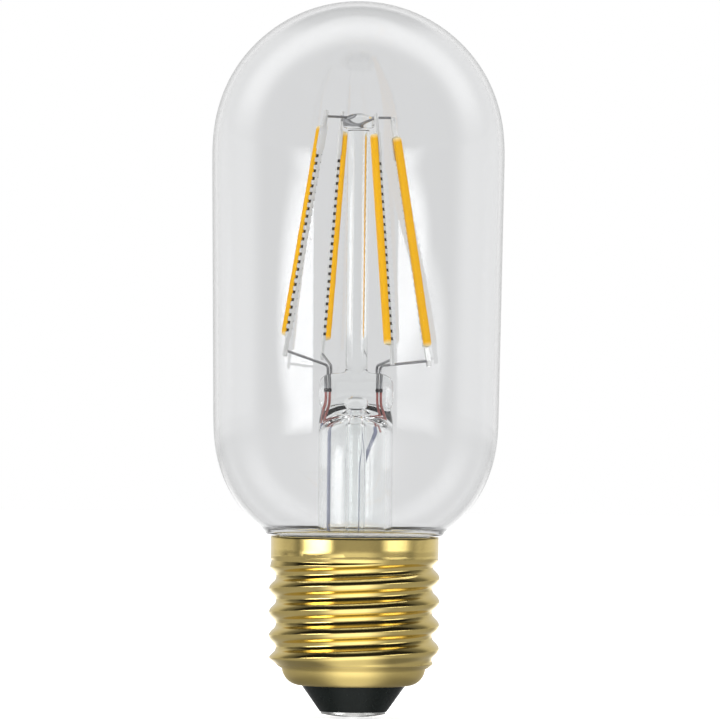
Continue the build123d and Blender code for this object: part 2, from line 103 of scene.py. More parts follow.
class NodeSheet:
    """Adds and links the nodes of one material, world or node group."""

    def __init__(self, tree: bpy.types.NodeTree) -> None:
        """Keeps the tree that the nodes go into."""
        self.tree = tree

    def add(self, kind: str, values: dict | None = None, **settings: object) -> bpy.types.Node:
        """Adds a node.

        Args:
            kind: The node's type name.
            values: Input values by socket name or number.
            settings: Properties of the node itself.

        Returns:
            The new node.
        """
        node = self.tree.nodes.new(kind)
        for name, value in settings.items():
            setattr(node, name, value)
        for key, value in (values or {}).items():
            node.inputs[key].default_value = value
        return node

    def link(self, source: bpy.types.NodeSocket, target: bpy.types.NodeSocket) -> None:
        """Joins an output to an input."""
        self.tree.links.new(source, target)

    def math(self, operation: str, *terms: object) -> bpy.types.NodeSocket:
        """Adds a Math node.

        Args:
            operation: Its operation.
            terms: Numbers or sockets for its inputs, in order.

        Returns:
            Its output.
        """
        node = self.add("ShaderNodeMath", operation=operation)
        for socket, term in zip(node.inputs, terms):
            self.feed(socket, term)
        return node.outputs[0]

    def ramp(self, factor: bpy.types.NodeSocket, stops: list[tuple[float, Colour]]) -> bpy.types.NodeSocket:
        """Adds a colour ramp.

        Args:
            factor: What runs along the ramp.
            stops: Place and colour of each stop.

        Returns:
            The ramp's colour.
        """
        node = self.add("ShaderNodeValToRGB")
        node.color_ramp.interpolation = "EASE"
        elements = node.color_ramp.elements
        while len(elements) < len(stops):
            elements.new(1.0)
        for element, (place, colour) in zip(elements, stops):
            element.position = place
            element.color = (*colour, 1.0)
        self.link(factor, node.inputs["Fac"])
        return node.outputs["Color"]

    def levels(self, factor: bpy.types.NodeSocket, stops: tuple[Point, ...]) -> bpy.types.NodeSocket:
        """Adds a ramp of plain levels, each stop a place and a level."""
        return self.ramp(factor, [(place, grey(level)) for place, level in stops])

    def feed(self, socket: bpy.types.NodeSocket, value: object) -> None:
        """Links a socket into an input, or sets a plain value on it.

        Args:
            socket: The input.
            value: Another node's output, or a plain value.
        """
        if isinstance(value, bpy.types.NodeSocket):
            self.link(value, socket)
        else:
            socket.default_value = value

    def blend(self, factor: object, first: object, second: object) -> bpy.types.NodeSocket:
        """Mixes two colours by a factor.

        Args:
            factor: A socket or a number.
            first: Colour at 0, a socket or a colour with alpha.
            second: Colour at 1, likewise.

        Returns:
            The mixed colour.
        """
        node = self.add("ShaderNodeMix", data_type="RGBA")
        for socket, value in zip((node.inputs[0], node.inputs[6], node.inputs[7]), (factor, first, second)):
            self.feed(socket, value)
        return node.outputs[2]

    def between(self, factor: object, first: object, second: object) -> bpy.types.NodeSocket:
        """Mixes two values by a factor.

        Args:
            factor: A socket or a number.
            first: Value at 0, a socket or a number.
            second: Value at 1, likewise.

        Returns:
            The mixed value.
        """
        node = self.add("ShaderNodeMix", data_type="FLOAT")
        for socket, value in zip((node.inputs[0], node.inputs[2], node.inputs[3]), (factor, first, second)):
            self.feed(socket, value)
        return node.outputs[0]

    def step(self, value: bpy.types.NodeSocket, low: float, high: float) -> bpy.types.NodeSocket:
        """Adds a smooth step from 0 to 1.

        Args:
            value: What runs over the step.
            low: Value where it is 0.
            high: Value where it is 1.

        Returns:
            The step's level.
        """
        node = self.add(
            "ShaderNodeMapRange", {"From Min": low, "From Max": high}, interpolation_type="SMOOTHSTEP"
        )
        self.link(value, node.inputs["Value"])
        return node.outputs["Result"]

    def place(self, output: str) -> dict[str, bpy.types.NodeSocket]:
        """Takes one Texture Coordinate output apart.

        Args:
            output: The output's name.

        Returns:
            Its three parts, by axis.
        """
        coordinate = self.add("ShaderNodeTexCoord")
        parts = self.add("ShaderNodeSeparateXYZ")
        self.link(coordinate.outputs[output], parts.inputs["Vector"])
        return {axis: parts.outputs[axis] for axis in "XYZ"}

    def light_path(self, ray: Ray) -> bpy.types.NodeSocket:
        """Adds a Light Path node and gives the output for one kind of ray."""
        return self.add("ShaderNodeLightPath").outputs[ray.value]

    def shaders(
        self, factor: bpy.types.NodeSocket, first: bpy.types.NodeSocket, second: bpy.types.NodeSocket
    ) -> bpy.types.NodeSocket:
        """Mixes two shaders by a factor.

        Args:
            factor: Share of the second shader.
            first: Shader at 0.
            second: Shader at 1.

        Returns:
            The mixed shader.
        """
        node = self.add("ShaderNodeMixShader")
        for socket, value in zip(node.inputs, (factor, first, second)):
            self.link(value, socket)
        return node.outputs["Shader"]

    def length(self, first: bpy.types.NodeSocket, second: bpy.types.NodeSocket) -> bpy.types.NodeSocket:
        """The root of the sum of two squares."""
        squares = [self.math("MULTIPLY", part, part) for part in (first, second)]
        return self.math("SQRT", self.math("ADD", *squares))


def rgba(colour: Colour) -> tuple[float, float, float, float]:
    """A colour with full alpha."""
    return (*colour, 1.0)


def grey(level: float) -> Colour:
    """A neutral colour of one level."""
    return (level, level, level)


def start_material(name: str) -> tuple[bpy.types.Material, NodeSheet]:
    """Starts a material.

    Args:
        name: The material's name.

    Returns:
        The material and the sheet for its nodes.
    """
    material = bpy.data.materials.new(name)
    material.use_nodes = True
    return material, NodeSheet(material.node_tree)


def open_group(name: str, inputs: dict[str, tuple[str, object]]) -> tuple[NodeSheet, dict, bpy.types.Node]:
    """Starts a finish group with a colour, a roughness and a height as outputs.

    Args:
        name: The group's name.
        inputs: Socket type and value of each input, by name.

    Returns:
        The group's sheet, its input sockets by name and its output node.
    """
    tree = bpy.data.node_groups.new(name, "ShaderNodeTree")
    for label, (kind, value) in inputs.items():
        socket = tree.interface.new_socket(label, in_out="INPUT", socket_type=kind)
        if value is not None:
            socket.default_value = value
    for label, kind in (
        ("Color", "NodeSocketColor"),
        ("Roughness", "NodeSocketFloat"),
        ("Height", "NodeSocketFloat"),
    ):
        tree.interface.new_socket(label, in_out="OUTPUT", socket_type=kind)
    sheet = NodeSheet(tree)
    start = sheet.add("NodeGroupInput")
    end = sheet.add("NodeGroupOutput")
    return sheet, {socket.name: socket for socket in start.outputs}, end


GROUP_INPUTS = {
    "Vector": ("NodeSocketVector", None),
    "Pale": ("NodeSocketColor", rgba(grey(0.8))),
    "Deep": ("NodeSocketColor", rgba(grey(0.6))),
    "Scale": ("NodeSocketFloat", 1000.0),
    "Smooth": ("NodeSocketFloat", 0.2),
    "Rough": ("NodeSocketFloat", 0.4),
}
FINE_SHARE = 0.6
BROAD_SCALE = 0.17


def close_group(sheet: NodeSheet, given: dict, end: bpy.types.Node, pattern: bpy.types.NodeSocket) -> None:
    """Turns one pattern into the colour, roughness and height that a finish group puts out.

    Args:
        sheet: The group's sheet.
        given: Its input sockets.
        end: Its output node.
        pattern: The value from 0 to 1 that changes over the surface.
    """
    spread = sheet.add("ShaderNodeMapRange")
    sheet.link(pattern, spread.inputs["Value"])
    sheet.link(given["Smooth"], spread.inputs["To Min"])
    sheet.link(given["Rough"], spread.inputs["To Max"])
    sheet.link(sheet.blend(pattern, given["Pale"], given["Deep"]), end.inputs["Color"])
    sheet.link(spread.outputs["Result"], end.inputs["Roughness"])
    sheet.link(pattern, end.inputs["Height"])


def grain_group() -> bpy.types.NodeTree:
    """Builds the group for cloudy grain from two layers of noise.

    Returns:
        The node group.
    """
    sheet, given, end = open_group("SurfaceGrain", GROUP_INPUTS)
    fine = sheet.add("ShaderNodeTexNoise", {"Detail": 4.0, "Roughness": 0.6})
    broad = sheet.add("ShaderNodeTexNoise", {"Detail": 2.0})
    broad_scale = sheet.math("MULTIPLY", given["Scale"], BROAD_SCALE)
    for layer, scale in ((fine, given["Scale"]), (broad, broad_scale)):
        sheet.link(given["Vector"], layer.inputs["Vector"])
        sheet.link(scale, layer.inputs["Scale"])
    soft = sheet.math("MULTIPLY", broad.outputs["Fac"], 1.0 - FINE_SHARE)
    close_group(sheet, given, end, sheet.math("MULTIPLY_ADD", fine.outputs["Fac"], FINE_SHARE, soft))
    return sheet.tree


def drawn_group() -> bpy.types.NodeTree:
    """Builds the group for fine lines along one direction, as on drawn tube and wire.

    Returns:
        The node group.
    """
    inputs = {**GROUP_INPUTS, "Stretch": ("NodeSocketVector", (1.0, 1.0, 0.03))}
    sheet, given, end = open_group("DrawnLines", inputs)
    stretch = sheet.add("ShaderNodeVectorMath", operation="MULTIPLY")
    sheet.link(given["Vector"], stretch.inputs[0])
    sheet.link(given["Stretch"], stretch.inputs[1])
    lines = sheet.add("ShaderNodeTexNoise", {"Detail": 3.0, "Roughness": 0.55})
    sheet.link(stretch.outputs["Vector"], lines.inputs["Vector"])
    sheet.link(given["Scale"], lines.inputs["Scale"])
    close_group(sheet, given, end, lines.outputs["Fac"])
    return sheet.tree


class Effects:
    """The shared finish groups, built once."""

    def __init__(self) -> None:
        """Builds the groups."""
        self.grain = grain_group()
        self.drawn = drawn_group()


# Finishes


@dataclass(frozen=True)
class Finish:
    """A procedural finish of one colour range, with grain or drawn lines in its surface."""

    name: str
    pale: Colour
    deep: Colour
    scale: float
    smooth: float
    rough: float
    metallic: float = 0.0
    bump: float = 0.1
    relief: float = 0.02
    stretch: tuple[float, float, float] | None = None
    coat: float = 0.0
    coat_roughness: float = 0.1
    specular: float = 0.5

    def material(self, effects: Effects) -> bpy.types.Material:
        """Builds the material.

        Args:
            effects: The shared finish groups.

        Returns:
            The material.
        """
        material, sheet = start_material(self.name)
        shader = material.node_tree.nodes["Principled BSDF"]
        shader.inputs["Metallic"].default_value = self.metallic
        shader.inputs["Coat Weight"].default_value = self.coat
        shader.inputs["Coat Roughness"].default_value = self.coat_roughness
        shader.inputs["Specular IOR Level"].default_value = self.specular
        pattern = self.pattern(sheet, effects)
        sheet.link(self.roughness(sheet, pattern), shader.inputs["Roughness"])
        sheet.link(self.colour(sheet, pattern), shader.inputs["Base Color"])
        relief = sheet.add("ShaderNodeBump", {"Strength": self.bump, "Distance": self.relief * MM})
        sheet.link(pattern.outputs["Height"], relief.inputs["Height"])
        sheet.link(relief.outputs["Normal"], shader.inputs["Normal"])
        return material

    def pattern(self, sheet: NodeSheet, effects: Effects) -> bpy.types.Node:
        """Places the finish group with this finish's values.

        Args:
            sheet: The material's sheet.
            effects: The shared finish groups.

        Returns:
            The group node.
        """
        node = sheet.add("ShaderNodeGroup", node_tree=effects.drawn if self.stretch else effects.grain)
        values = {
            "Pale": rgba(self.pale),
            "Deep": rgba(self.deep),
            "Scale": self.scale,
            "Smooth": self.smooth,
            "Rough": self.rough,
        }
        if self.stretch:
            values["Stretch"] = self.stretch
        for name, value in values.items():
            node.inputs[name].default_value = value
        place = sheet.add("ShaderNodeTexCoord")
        sheet.link(place.outputs["Object"], node.inputs["Vector"])
        return node

    def colour(self, sheet: NodeSheet, pattern: bpy.types.Node) -> bpy.types.NodeSocket:
        """The socket that the base colour comes from."""
        return pattern.outputs["Color"]

    def roughness(self, sheet: NodeSheet, pattern: bpy.types.Node) -> bpy.types.NodeSocket:
        """The socket that the roughness comes from."""
        return pattern.outputs["Roughness"]


@dataclass(frozen=True)
class HeightFinish(Finish):
    """A finish that changes to a second colour over a range of heights."""

    second: Colour = (0.7, 0.7, 0.7)
    low: float = 0.0
    high: float = 1.0

    def colour(self, sheet: NodeSheet, pattern: bpy.types.Node) -> bpy.types.NodeSocket:
        """Blends the pattern's colour into the second colour with height.

        Args:
            sheet: The material's sheet.
            pattern: The finish group's node.

        Returns:
            The blended colour.
        """
        rise = sheet.step(sheet.place("Object")["Z"], self.low * MM, self.high * MM)
        return sheet.blend(rise, pattern.outputs["Color"], rgba(self.second))


@dataclass(frozen=True)
class PaintedNotchShadeFinish(HeightFinish):
    """A plated strip with painted shade in its notches, at the places where its filament's strip has them.
    """

    slide: float = 0.0
    pitch: float = 1.1623
    centre: float = 70.749
    foot: float = 57.2
    top: float = 85.15
    share: float = 0.16
    share_blur: float = 0.08
    end_blur: float = 0.2
    across: tuple[float, float, float] = (1.0, 0.0, 0.0)
    offset: float = 0.0
    inset: float = 0.3
    inset_blur: float = 0.05
    # Colour of the painted shade in the notches.
    shade: Colour = (0.05, 0.045, 0.04)

    def colour(self, sheet: NodeSheet, pattern: bpy.types.Node) -> bpy.types.NodeSocket:
        """Paints shade into the notches, over the strip's own colour.

        Args:
            sheet: The material's sheet.
            pattern: The finish group's node.

        Returns:
            The colour with its painted notch shade.
        """
        parts = sheet.place("Object")
        height = parts["Z"]
        turn = 0.5 - (self.centre + self.slide) / self.pitch
        step = sheet.math("FRACT", sheet.math("MULTIPLY_ADD", height, 1.0 / (self.pitch * MM), turn))
        off = sheet.math("ABSOLUTE", sheet.math("SUBTRACT", step, 0.5))
        notch = sheet.math("SUBTRACT", 1.0, sheet.step(off, self.share, self.share + self.share_blur))
        start, end = (
            sheet.step(height, (level + self.slide) * MM, (level + self.slide + self.end_blur) * MM)
            for level in (self.foot, self.top)
        )
        within = sheet.math("MULTIPLY", start, sheet.math("SUBTRACT", 1.0, end))
        side = sheet.math("MULTIPLY_ADD", height, self.across[2], -self.offset)
        side = sheet.math("MULTIPLY_ADD", parts["Y"], self.across[1], side)
        side = sheet.math("MULTIPLY_ADD", parts["X"], self.across[0], side)
        reach = sheet.math("ABSOLUTE", side)
        edge = sheet.step(reach, self.inset * MM, (self.inset + self.inset_blur) * MM)
        # Painted shade: the notches at the strip's edges are painted dark, where their recesses would lie in
        # shadow.
        dark = sheet.math("MULTIPLY", sheet.math("MULTIPLY", notch, within), edge)
        plain = HeightFinish.colour(self, sheet, pattern)
        return sheet.blend(dark, plain, rgba(self.shade))


@dataclass(frozen=True)
class BrassFinish(Finish):
    """Bright brass that is matt and grainy below one height."""

    matt: float = 0.4
    low: float = 7.6
    high: float = 8.6

    def roughness(self, sheet: NodeSheet, pattern: bpy.types.Node) -> bpy.types.NodeSocket:
        """Blends the pattern's roughness into the matt one toward the foot.

        Args:
            sheet: The material's sheet.
            pattern: The finish group's node.

        Returns:
            The blended roughness.
        """
        rise = sheet.step(sheet.place("Object")["Z"], self.low * MM, self.high * MM)
        return sheet.between(rise, self.matt, pattern.outputs["Roughness"])


@dataclass(frozen=True)
class RunFinish(Finish):
    """A finish that pales toward both ends of a bead, by the bead's own run attribute."""

    end: Colour = (0.9, 0.8, 0.5)
    end_share: float = 0.03

    def colour(self, sheet: NodeSheet, pattern: bpy.types.Node) -> bpy.types.NodeSocket:
        """Blends the pattern's colour into the end colour near the bead's ends.

        Args:
            sheet: The material's sheet.
            pattern: The finish group's node.

        Returns:
            The blended colour.
        """
        run = sheet.add("ShaderNodeAttribute", attribute_name=FilamentSet.RUN)
        stops = ((0.0, 1.0), (self.end_share, 0.0), (1.0 - self.end_share, 0.0), (1.0, 1.0))
        mask = sheet.levels(run.outputs["Fac"], stops)
        return sheet.blend(mask, pattern.outputs["Color"], rgba(self.end))


@dataclass(frozen=True)
class GlassFinish:
    """Clear glass with the faint lines that drawing leaves, which lets lamps light what it holds."""

    name: str
    tint: Colour
    scale: float
    stretch: tuple[float, float, float]
    bump: float
    relief: float
    ior: float = 1.5

    def material(self, effects: Effects) -> bpy.types.Material:
        """Builds the material.

        Args:
            effects: The shared finish groups.

        Returns:
            The material.
        """
        material, sheet = start_material(self.name)
        shader = material.node_tree.nodes["Principled BSDF"]
        output = material.node_tree.nodes["Material Output"]
        shader.inputs["Base Color"].default_value = rgba(self.tint)
        shader.inputs["Roughness"].default_value = 0.0
        shader.inputs["IOR"].default_value = self.ior
        shader.inputs["Transmission Weight"].default_value = 1.0
        lines = sheet.add("ShaderNodeGroup", node_tree=effects.drawn)
        lines.inputs["Scale"].default_value = self.scale
        lines.inputs["Stretch"].default_value = self.stretch
        place = sheet.add("ShaderNodeTexCoord")
        sheet.link(place.outputs["Object"], lines.inputs["Vector"])
        relief = sheet.add("ShaderNodeBump", {"Strength": self.bump, "Distance": self.relief * MM})
        sheet.link(lines.outputs["Height"], relief.inputs["Height"])
        sheet.link(relief.outputs["Normal"], shader.inputs["Normal"])
        clear = sheet.add("ShaderNodeBsdfTransparent", {"Color": rgba(self.tint)})
        shadow = sheet.light_path(Ray.SHADOW)
        glass = sheet.shaders(shadow, shader.outputs["BSDF"], clear.outputs["BSDF"])
        sheet.link(glass, output.inputs["Surface"])
        return material


@dataclass(frozen=True)
class FinishSet:
    """Every finish of the lamp."""

    envelope: GlassFinish = GlassFinish(
        "ClearEnvelopeGlass", (0.982, 0.986, 0.99), 900.0, (1.0, 1.0, 0.015), 0.05, 0.02
    )
    stem: GlassFinish = GlassFinish(
        "ClearStemGlass", (0.97, 0.98, 0.978), 700.0, (1.0, 1.0, 0.05), 0.05, 0.02
    )
    brass: BrassFinish = BrassFinish(
        "RolledBrass", (0.88, 0.7, 0.27), (0.82, 0.63, 0.22), 2200.0, 0.09, 0.18, metallic=1.0, bump=0.06
    )
    insulator: Finish = Finish(
        "BlackInsulator", (0.005, 0.007, 0.0065), (0.009, 0.012, 0.011), 900.0, 0.2, 0.32,
        bump=0.05, specular=0.2,
    )
    contact: Finish = Finish(
        "NickelContact", (0.84, 0.84, 0.82), (0.7, 0.7, 0.68), 1500.0, 0.2, 0.34, metallic=1.0
    )
    cement: Finish = Finish(
        "LampCement", (0.9, 0.88, 0.84), (0.82, 0.8, 0.75), 1200.0, 0.8, 0.95, bump=0.5, relief=0.1
    )
    phosphor: RunFinish = RunFinish(
        "AmberPhosphor", (0.94, 0.5, 0.002), (0.88, 0.43, 0.001), 700.0, 0.36, 0.5,
        bump=0.15, relief=0.03, coat=0.04, specular=0.2,
    )
    # The plated strips carry painted shade in their notches.
    strip: PaintedNotchShadeFinish = PaintedNotchShadeFinish(
        "PlatedStrip", (0.84, 0.84, 0.83), (0.7, 0.7, 0.69), 2600.0, 0.26, 0.42,
        metallic=0.5, second=(0.82, 0.82, 0.81), low=86.4, high=87.4,
    )
    nickel_wire: Finish = Finish(
        "DrawnNickelWire", (0.42, 0.42, 0.43), (0.28, 0.28, 0.29), 3500.0, 0.28, 0.42, metallic=1.0
    )
    weld: Finish = Finish(
        "WeldOxide", (0.1, 0.08, 0.08), (0.03, 0.025, 0.03), 6000.0, 0.4, 0.6, metallic=0.8, bump=0.4
    )
    seal_wire: Finish = Finish(
        "ReddishSealWire", (0.46, 0.15, 0.13), (0.32, 0.09, 0.08), 4000.0, 0.3, 0.45, metallic=0.7
    )
    lead_wire: Finish = Finish(
        "BlueGreyLead", (0.24, 0.26, 0.38), (0.17, 0.18, 0.28), 3000.0, 0.35, 0.5, metallic=0.4
    )
    board: Finish = Finish(
        "BoardLaminate", (0.03, 0.16, 0.07), (0.02, 0.11, 0.05), 1500.0, 0.3, 0.45, coat=0.3
    )
    moulded: Finish = Finish(
        "MouldedComponent", (0.03, 0.03, 0.032), (0.02, 0.02, 0.022), 5000.0, 0.5, 0.7, bump=0.3
    )
    can: Finish = Finish(
        "DrawnCan", (0.72, 0.73, 0.75), (0.6, 0.61, 0.63), 3000.0, 0.25, 0.4,
        metallic=1.0, stretch=(1.0, 0.05, 1.0),
    )
    coat: Finish = Finish(
        "ResistorCoat", (0.2, 0.42, 0.55), (0.15, 0.34, 0.46), 2500.0, 0.35, 0.5, coat=0.2
    )
    hook_up: Finish = Finish(
        "TinnedHookUpWire", (0.78, 0.62, 0.5), (0.66, 0.48, 0.36), 4000.0, 0.25, 0.4, metallic=1.0
    )


# Mesh helpers


def to_object(name: str, mesh: bmesh.types.BMesh) -> bpy.types.Object:
    """Puts a finished bmesh into the scene and frees it.

    Args:
        name: Name of the object and of its mesh.
        mesh: The bmesh.

    Returns:
        The new object.
    """
    data = bpy.data.meshes.new(name)
    mesh.to_mesh(data)
    mesh.free()
    made = bpy.data.objects.new(name, data)
    bpy.context.scene.collection.objects.link(made)
    return made


def extend_loop(mesh: bmesh.types.BMesh, edges: list) -> tuple[list, list]:
    """Extrudes a loop of edges.

    Args:
        mesh: The bmesh.
        edges: The loop.

    Returns:
        The new loop's corners and edges.
    """
    made = bmesh.ops.extrude_edge_only(mesh, edges=edges)["geom"]
    verts = [part for part in made if isinstance(part, bmesh.types.BMVert)]
    fresh = set(verts)
    loop = [part for part in made if isinstance(part, bmesh.types.BMEdge) and fresh.issuperset(part.verts)]
    return verts, loop


def smooth(data: bpy.types.Mesh, crease: float) -> None:
    """Shades a mesh smooth, apart from edges bent by more than so many degrees."""
    data.shade_smooth()
    data.set_sharp_from_angle(angle=math.radians(crease))


class ProfilePen:
    """Draws a half outline in the XZ plane, one run or arc at a time, ready to be spun."""

    def __init__(self, radius: float, height: float) -> None:
        """Starts the outline at one point, in millimetres."""
        self.mesh = bmesh.new()
        self.tip = self.mesh.verts.new((radius * MM, 0.0, height * MM))

    def line(self, radius: float, height: float, cuts: int = 0) -> None:
        """Draws a straight run.

        Args:
            radius: Radius at its end.
            height: Height at its end.
            cuts: Points that divide it.
        """
        start = self.tip.co.copy()
        end = Vector((radius * MM, 0.0, height * MM))
        for step in range(1, cuts + 2):
            self.tip = bmesh.ops.extrude_vert_indiv(self.mesh, verts=[self.tip])["verts"][0]
            self.tip.co = start.lerp(end, step / (cuts + 1))

    def arc(self, radius: float, height: float, degrees: float, steps: int) -> None:
        """Draws an arc about a centre; a positive turn goes from up to outward.

        Args:
            radius: The centre's radius.
            height: The centre's height.
            degrees: The turn.
            steps: Runs along the arc.
        """
        made = bmesh.ops.spin(
            self.mesh,
            geom=[self.tip],
            cent=(radius * MM, 0.0, height * MM),
            axis=(0.0, 1.0, 0.0),
            angle=math.radians(degrees),
            steps=steps,
            use_merge=False,
        )
        self.tip = next(part for part in made["geom_last"] if isinstance(part, bmesh.types.BMVert))

    def revolve(self, segments: int) -> bmesh.types.BMesh:
        """Spins the outline once round the lamp's axis.

        Args:
            segments: Steps of the turn.

        Returns:
            The closed mesh, with its normals outward.
        """
        bmesh.ops.spin(
            self.mesh,
            geom=self.mesh.verts[:] + self.mesh.edges[:],
            cent=(0.0, 0.0, 0.0),
            axis=(0.0, 0.0, 1.0),
            angle=math.tau,
            steps=segments,
            use_merge=True,
        )
        bmesh.ops.remove_doubles(self.mesh, verts=self.mesh.verts[:], dist=WELD)
        bmesh.ops.recalc_face_normals(self.mesh, faces=self.mesh.faces[:])
        return self.mesh


@dataclass(frozen=True)
class Ring:
    """One section of a lofted piece: its place along the loft, half sizes and squareness.

    A flat depth gives the half below the shift a flat bottom of that depth.
    """

    along: float
    half_width: float
    half_depth: float
    square: float = 2.0
    shift: float = 0.0
    flat_depth: float = 0.0


class RingLoft:
    """Extrudes a ring of edges from section to section."""

    FLAT_POWER = 0.25

    def __init__(self, first: Ring, segments: int, frame: Matrix | None = None) -> None:
        """Starts the loft.

        Args:
            first: The first section.
            segments: Corners of each section.
            frame: Where the loft's own axes lie; its z runs along the loft.
        """
        self.mesh = bmesh.new()
        self.turn = self.mesh.verts.layers.float.new("turn")
        made = bmesh.ops.create_circle(self.mesh, segments=segments, radius=1.0, cap_ends=False)
        for vert in made["verts"]:
            vert[self.turn] = math.atan2(vert.co.y, vert.co.x)
        self.frame = frame or Matrix.Identity(4)
        self.edges = self.mesh.edges[:]
        self.first = self.edges
        self.place(made["verts"], first)

    def place(self, verts: list, ring: Ring, frame: Matrix | None = None) -> None:
        """Moves a ring's corners onto a section.

        Args:
            verts: The corners.
            ring: The section.
            frame: Its own axes, if they differ from the loft's.
        """
        for vert in verts:
            across, deep = math.cos(vert[self.turn]), math.sin(vert[self.turn])
            flat = ring.flat_depth and deep < 0.0
            power = self.FLAT_POWER if flat else 2.0 / ring.square
            depth = ring.flat_depth if flat else ring.half_depth
            local = Vector(
                (
                    ring.half_width * math.copysign(abs(across) ** power, across),
                    depth * math.copysign(abs(deep) ** power, deep) + ring.shift,
                    ring.along,
                )
            )
            vert.co = (frame or self.frame) @ (local * MM)

    def to(self, ring: Ring, frame: Matrix | None = None) -> None:
        """Carries the loft on to its next section."""
        verts, self.edges = extend_loop(self.mesh, self.edges)
        self.place(verts, ring, frame)

    def through(self, *rings: Ring) -> None:
        """Carries the loft on through several sections."""
        for ring in rings:
            self.to(ring)

    def close(self, start: float, end: float, end_frame: Matrix | None = None) -> bmesh.types.BMesh:
        """Draws both ends together and turns the faces outward.

        Args:
            start: Place along the loft where the first end closes.
            end: Place where the last end closes.
            end_frame: Axes of the last end, if they differ from the loft's.

        Returns:
            The closed mesh.
        """
        last = end_frame or self.frame
        for edges, along, frame in ((self.first, start, self.frame), (self.edges, end, last)):
            verts, _ = extend_loop(self.mesh, edges)
            pole = frame @ Vector((0.0, 0.0, along * MM))
            bmesh.ops.pointmerge(self.mesh, verts=verts, merge_co=pole)
        bmesh.ops.recalc_face_normals(self.mesh, faces=self.mesh.faces[:])
        return self.mesh


def make_piece(
    name: str,
    mesh: bmesh.types.BMesh,
    material: bpy.types.Material,
    stands_for: tuple[str, ...] = (),
    crease: float = 40.0,
) -> bpy.types.Object:
    """Makes a shown piece from a finished bmesh and lets it ride on the lamp.

    Args:
        name: The piece's name.
        mesh: Its bmesh, which is freed.
        material: Its finish.
        stands_for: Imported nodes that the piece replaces.
        crease: Edges bent by more than this many degrees stay sharp.

    Returns:
        The new object.
    """
    piece = to_object(name, mesh)
    smooth(piece.data, crease)
    piece.data.materials.append(material)
    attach(piece, BODY)
    if stands_for:
        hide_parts(*stands_for)
    LOG.info("%s: %d faces", name, len(piece.data.polygons))
    return piece


def dress(nodes: dict[str, bpy.types.Object], names: list[str], material: bpy.types.Material) -> None:
    """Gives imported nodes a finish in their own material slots.

    Args:
        nodes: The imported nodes.
        names: Those that get the finish.
        material: The finish.
    """
    for name in names:
        data = nodes[name].data
        data.materials.clear()
        data.materials.append(material)
        LOG.info("%s: %s", name, material.name)


def ease(low: float, high: float, value: float) -> float:
    """A smooth step from 0 at low to 1 at high."""
    share = min(1.0, max(0.0, (value - low) / (high - low)))
    return share * share * (3.0 - 2.0 * share)


# Sub-assemblies


@dataclass
class Envelope:
    """The blown glass tube with its dome, shoulder and neck."""

    length: float = 110.0
    radius: float = 22.5
    wall: float = 0.8
    shoulder_radius: float = 21.9
    shoulder_bend: float = 18.8
    overhang_radius: float = 13.9
    overhang_top: float = 28.6
    overhang_bevel: float = 0.3
    underside: float = 28.05
    neck_radius: float = 11.5
    neck_bend: float = 0.6
    neck_end: float = 20.0
    ease_run: float = 3.5
    segments: int = 192
    dome_steps: int = 44
    shoulder_steps: int = 26
    neck_steps: int = 6
    wall_cuts: int = 59
    neck_cuts: int = 3
    crease: float = 50.0

    def build(self, material: bpy.types.Material) -> bpy.types.Object:
        """Spins the envelope's wall.

        Args:
            material: Its glass.

        Returns:
            The piece.
        """
        dome_centre = self.length - self.radius
        bend_centre = self.shoulder_radius - self.shoulder_bend
        reach = self.overhang_radius - bend_centre
        drop = math.sqrt(self.shoulder_bend**2 - reach**2)
        shoulder = self.overhang_top + drop
        inner_bend = self.shoulder_bend - self.wall
        bore = self.neck_radius - self.wall
        inner_drop = math.sqrt(inner_bend**2 - (bore - bend_centre) ** 2)
        between = math.hypot(bend_centre, dome_centre - shoulder)
        taper = math.asin((self.radius - self.shoulder_bend) / between)
        taper -= math.atan2(bend_centre, dome_centre - shoulder)
        lean = math.degrees(taper)
        pen = ProfilePen(0.0, self.length)
        pen.arc(0.0, dome_centre, 90.0 + lean, self.dome_steps)
        foot = shoulder - self.shoulder_bend * math.sin(taper)
        pen.line(bend_centre + self.shoulder_bend * math.cos(taper), foot, cuts=self.wall_cuts)
        pen.arc(bend_centre, shoulder, math.degrees(math.atan2(drop, reach)) - lean, self.shoulder_steps)
        pen.line(self.overhang_radius - self.overhang_bevel, self.underside)
        pen.line(self.neck_radius + self.neck_bend, self.underside)
        pen.arc(self.neck_radius + self.neck_bend, self.underside - self.neck_bend, -90.0, self.neck_steps)
        pen.line(self.neck_radius, self.neck_end, cuts=self.neck_cuts)
        pen.line(bore, self.neck_end)
        pen.line(bore, shoulder - inner_drop, cuts=self.neck_cuts)
        turn = math.degrees(math.atan2(inner_drop, bore - bend_centre))
        pen.arc(bend_centre, shoulder, lean - turn, self.shoulder_steps)
        inner = self.radius - self.wall
        pen.line(inner * math.cos(taper), dome_centre - inner * math.sin(taper), cuts=self.wall_cuts)
        pen.arc(0.0, dome_centre, -90.0 - lean, self.dome_steps)
        mesh = pen.revolve(self.segments)
        head = dome_centre - self.radius * math.sin(taper)
        for vert in mesh.verts:
            height = vert.co.z / MM
            inward = self.settle(height - head, self.radius) + self.settle(foot - height, self.shoulder_bend)
            if inward:
                vert.co.xy *= 1.0 - inward * MM / vert.co.xy.length
        return make_piece(
            "clear_envelope", mesh, material, ("glass_envelope",), self.crease
        )

    def settle(self, past: float, bend: float) -> float:
        """How far blown glass lies inside its drawn outline near the start of a bend.

        Args:
            past: Height past the start of the bend.
            bend: The bend's radius.

        Returns:
            The distance inward.
        """
        run = self.ease_run
        if past <= -run:
            return 0.0
        if past < run:
            return ((past + run) ** 3 / (12.0 * run) - max(past, 0.0) ** 2 / 2.0) / bend
        return run**2 / (6.0 * bend) * (1.0 - ease(run, 4.0 * run, past))


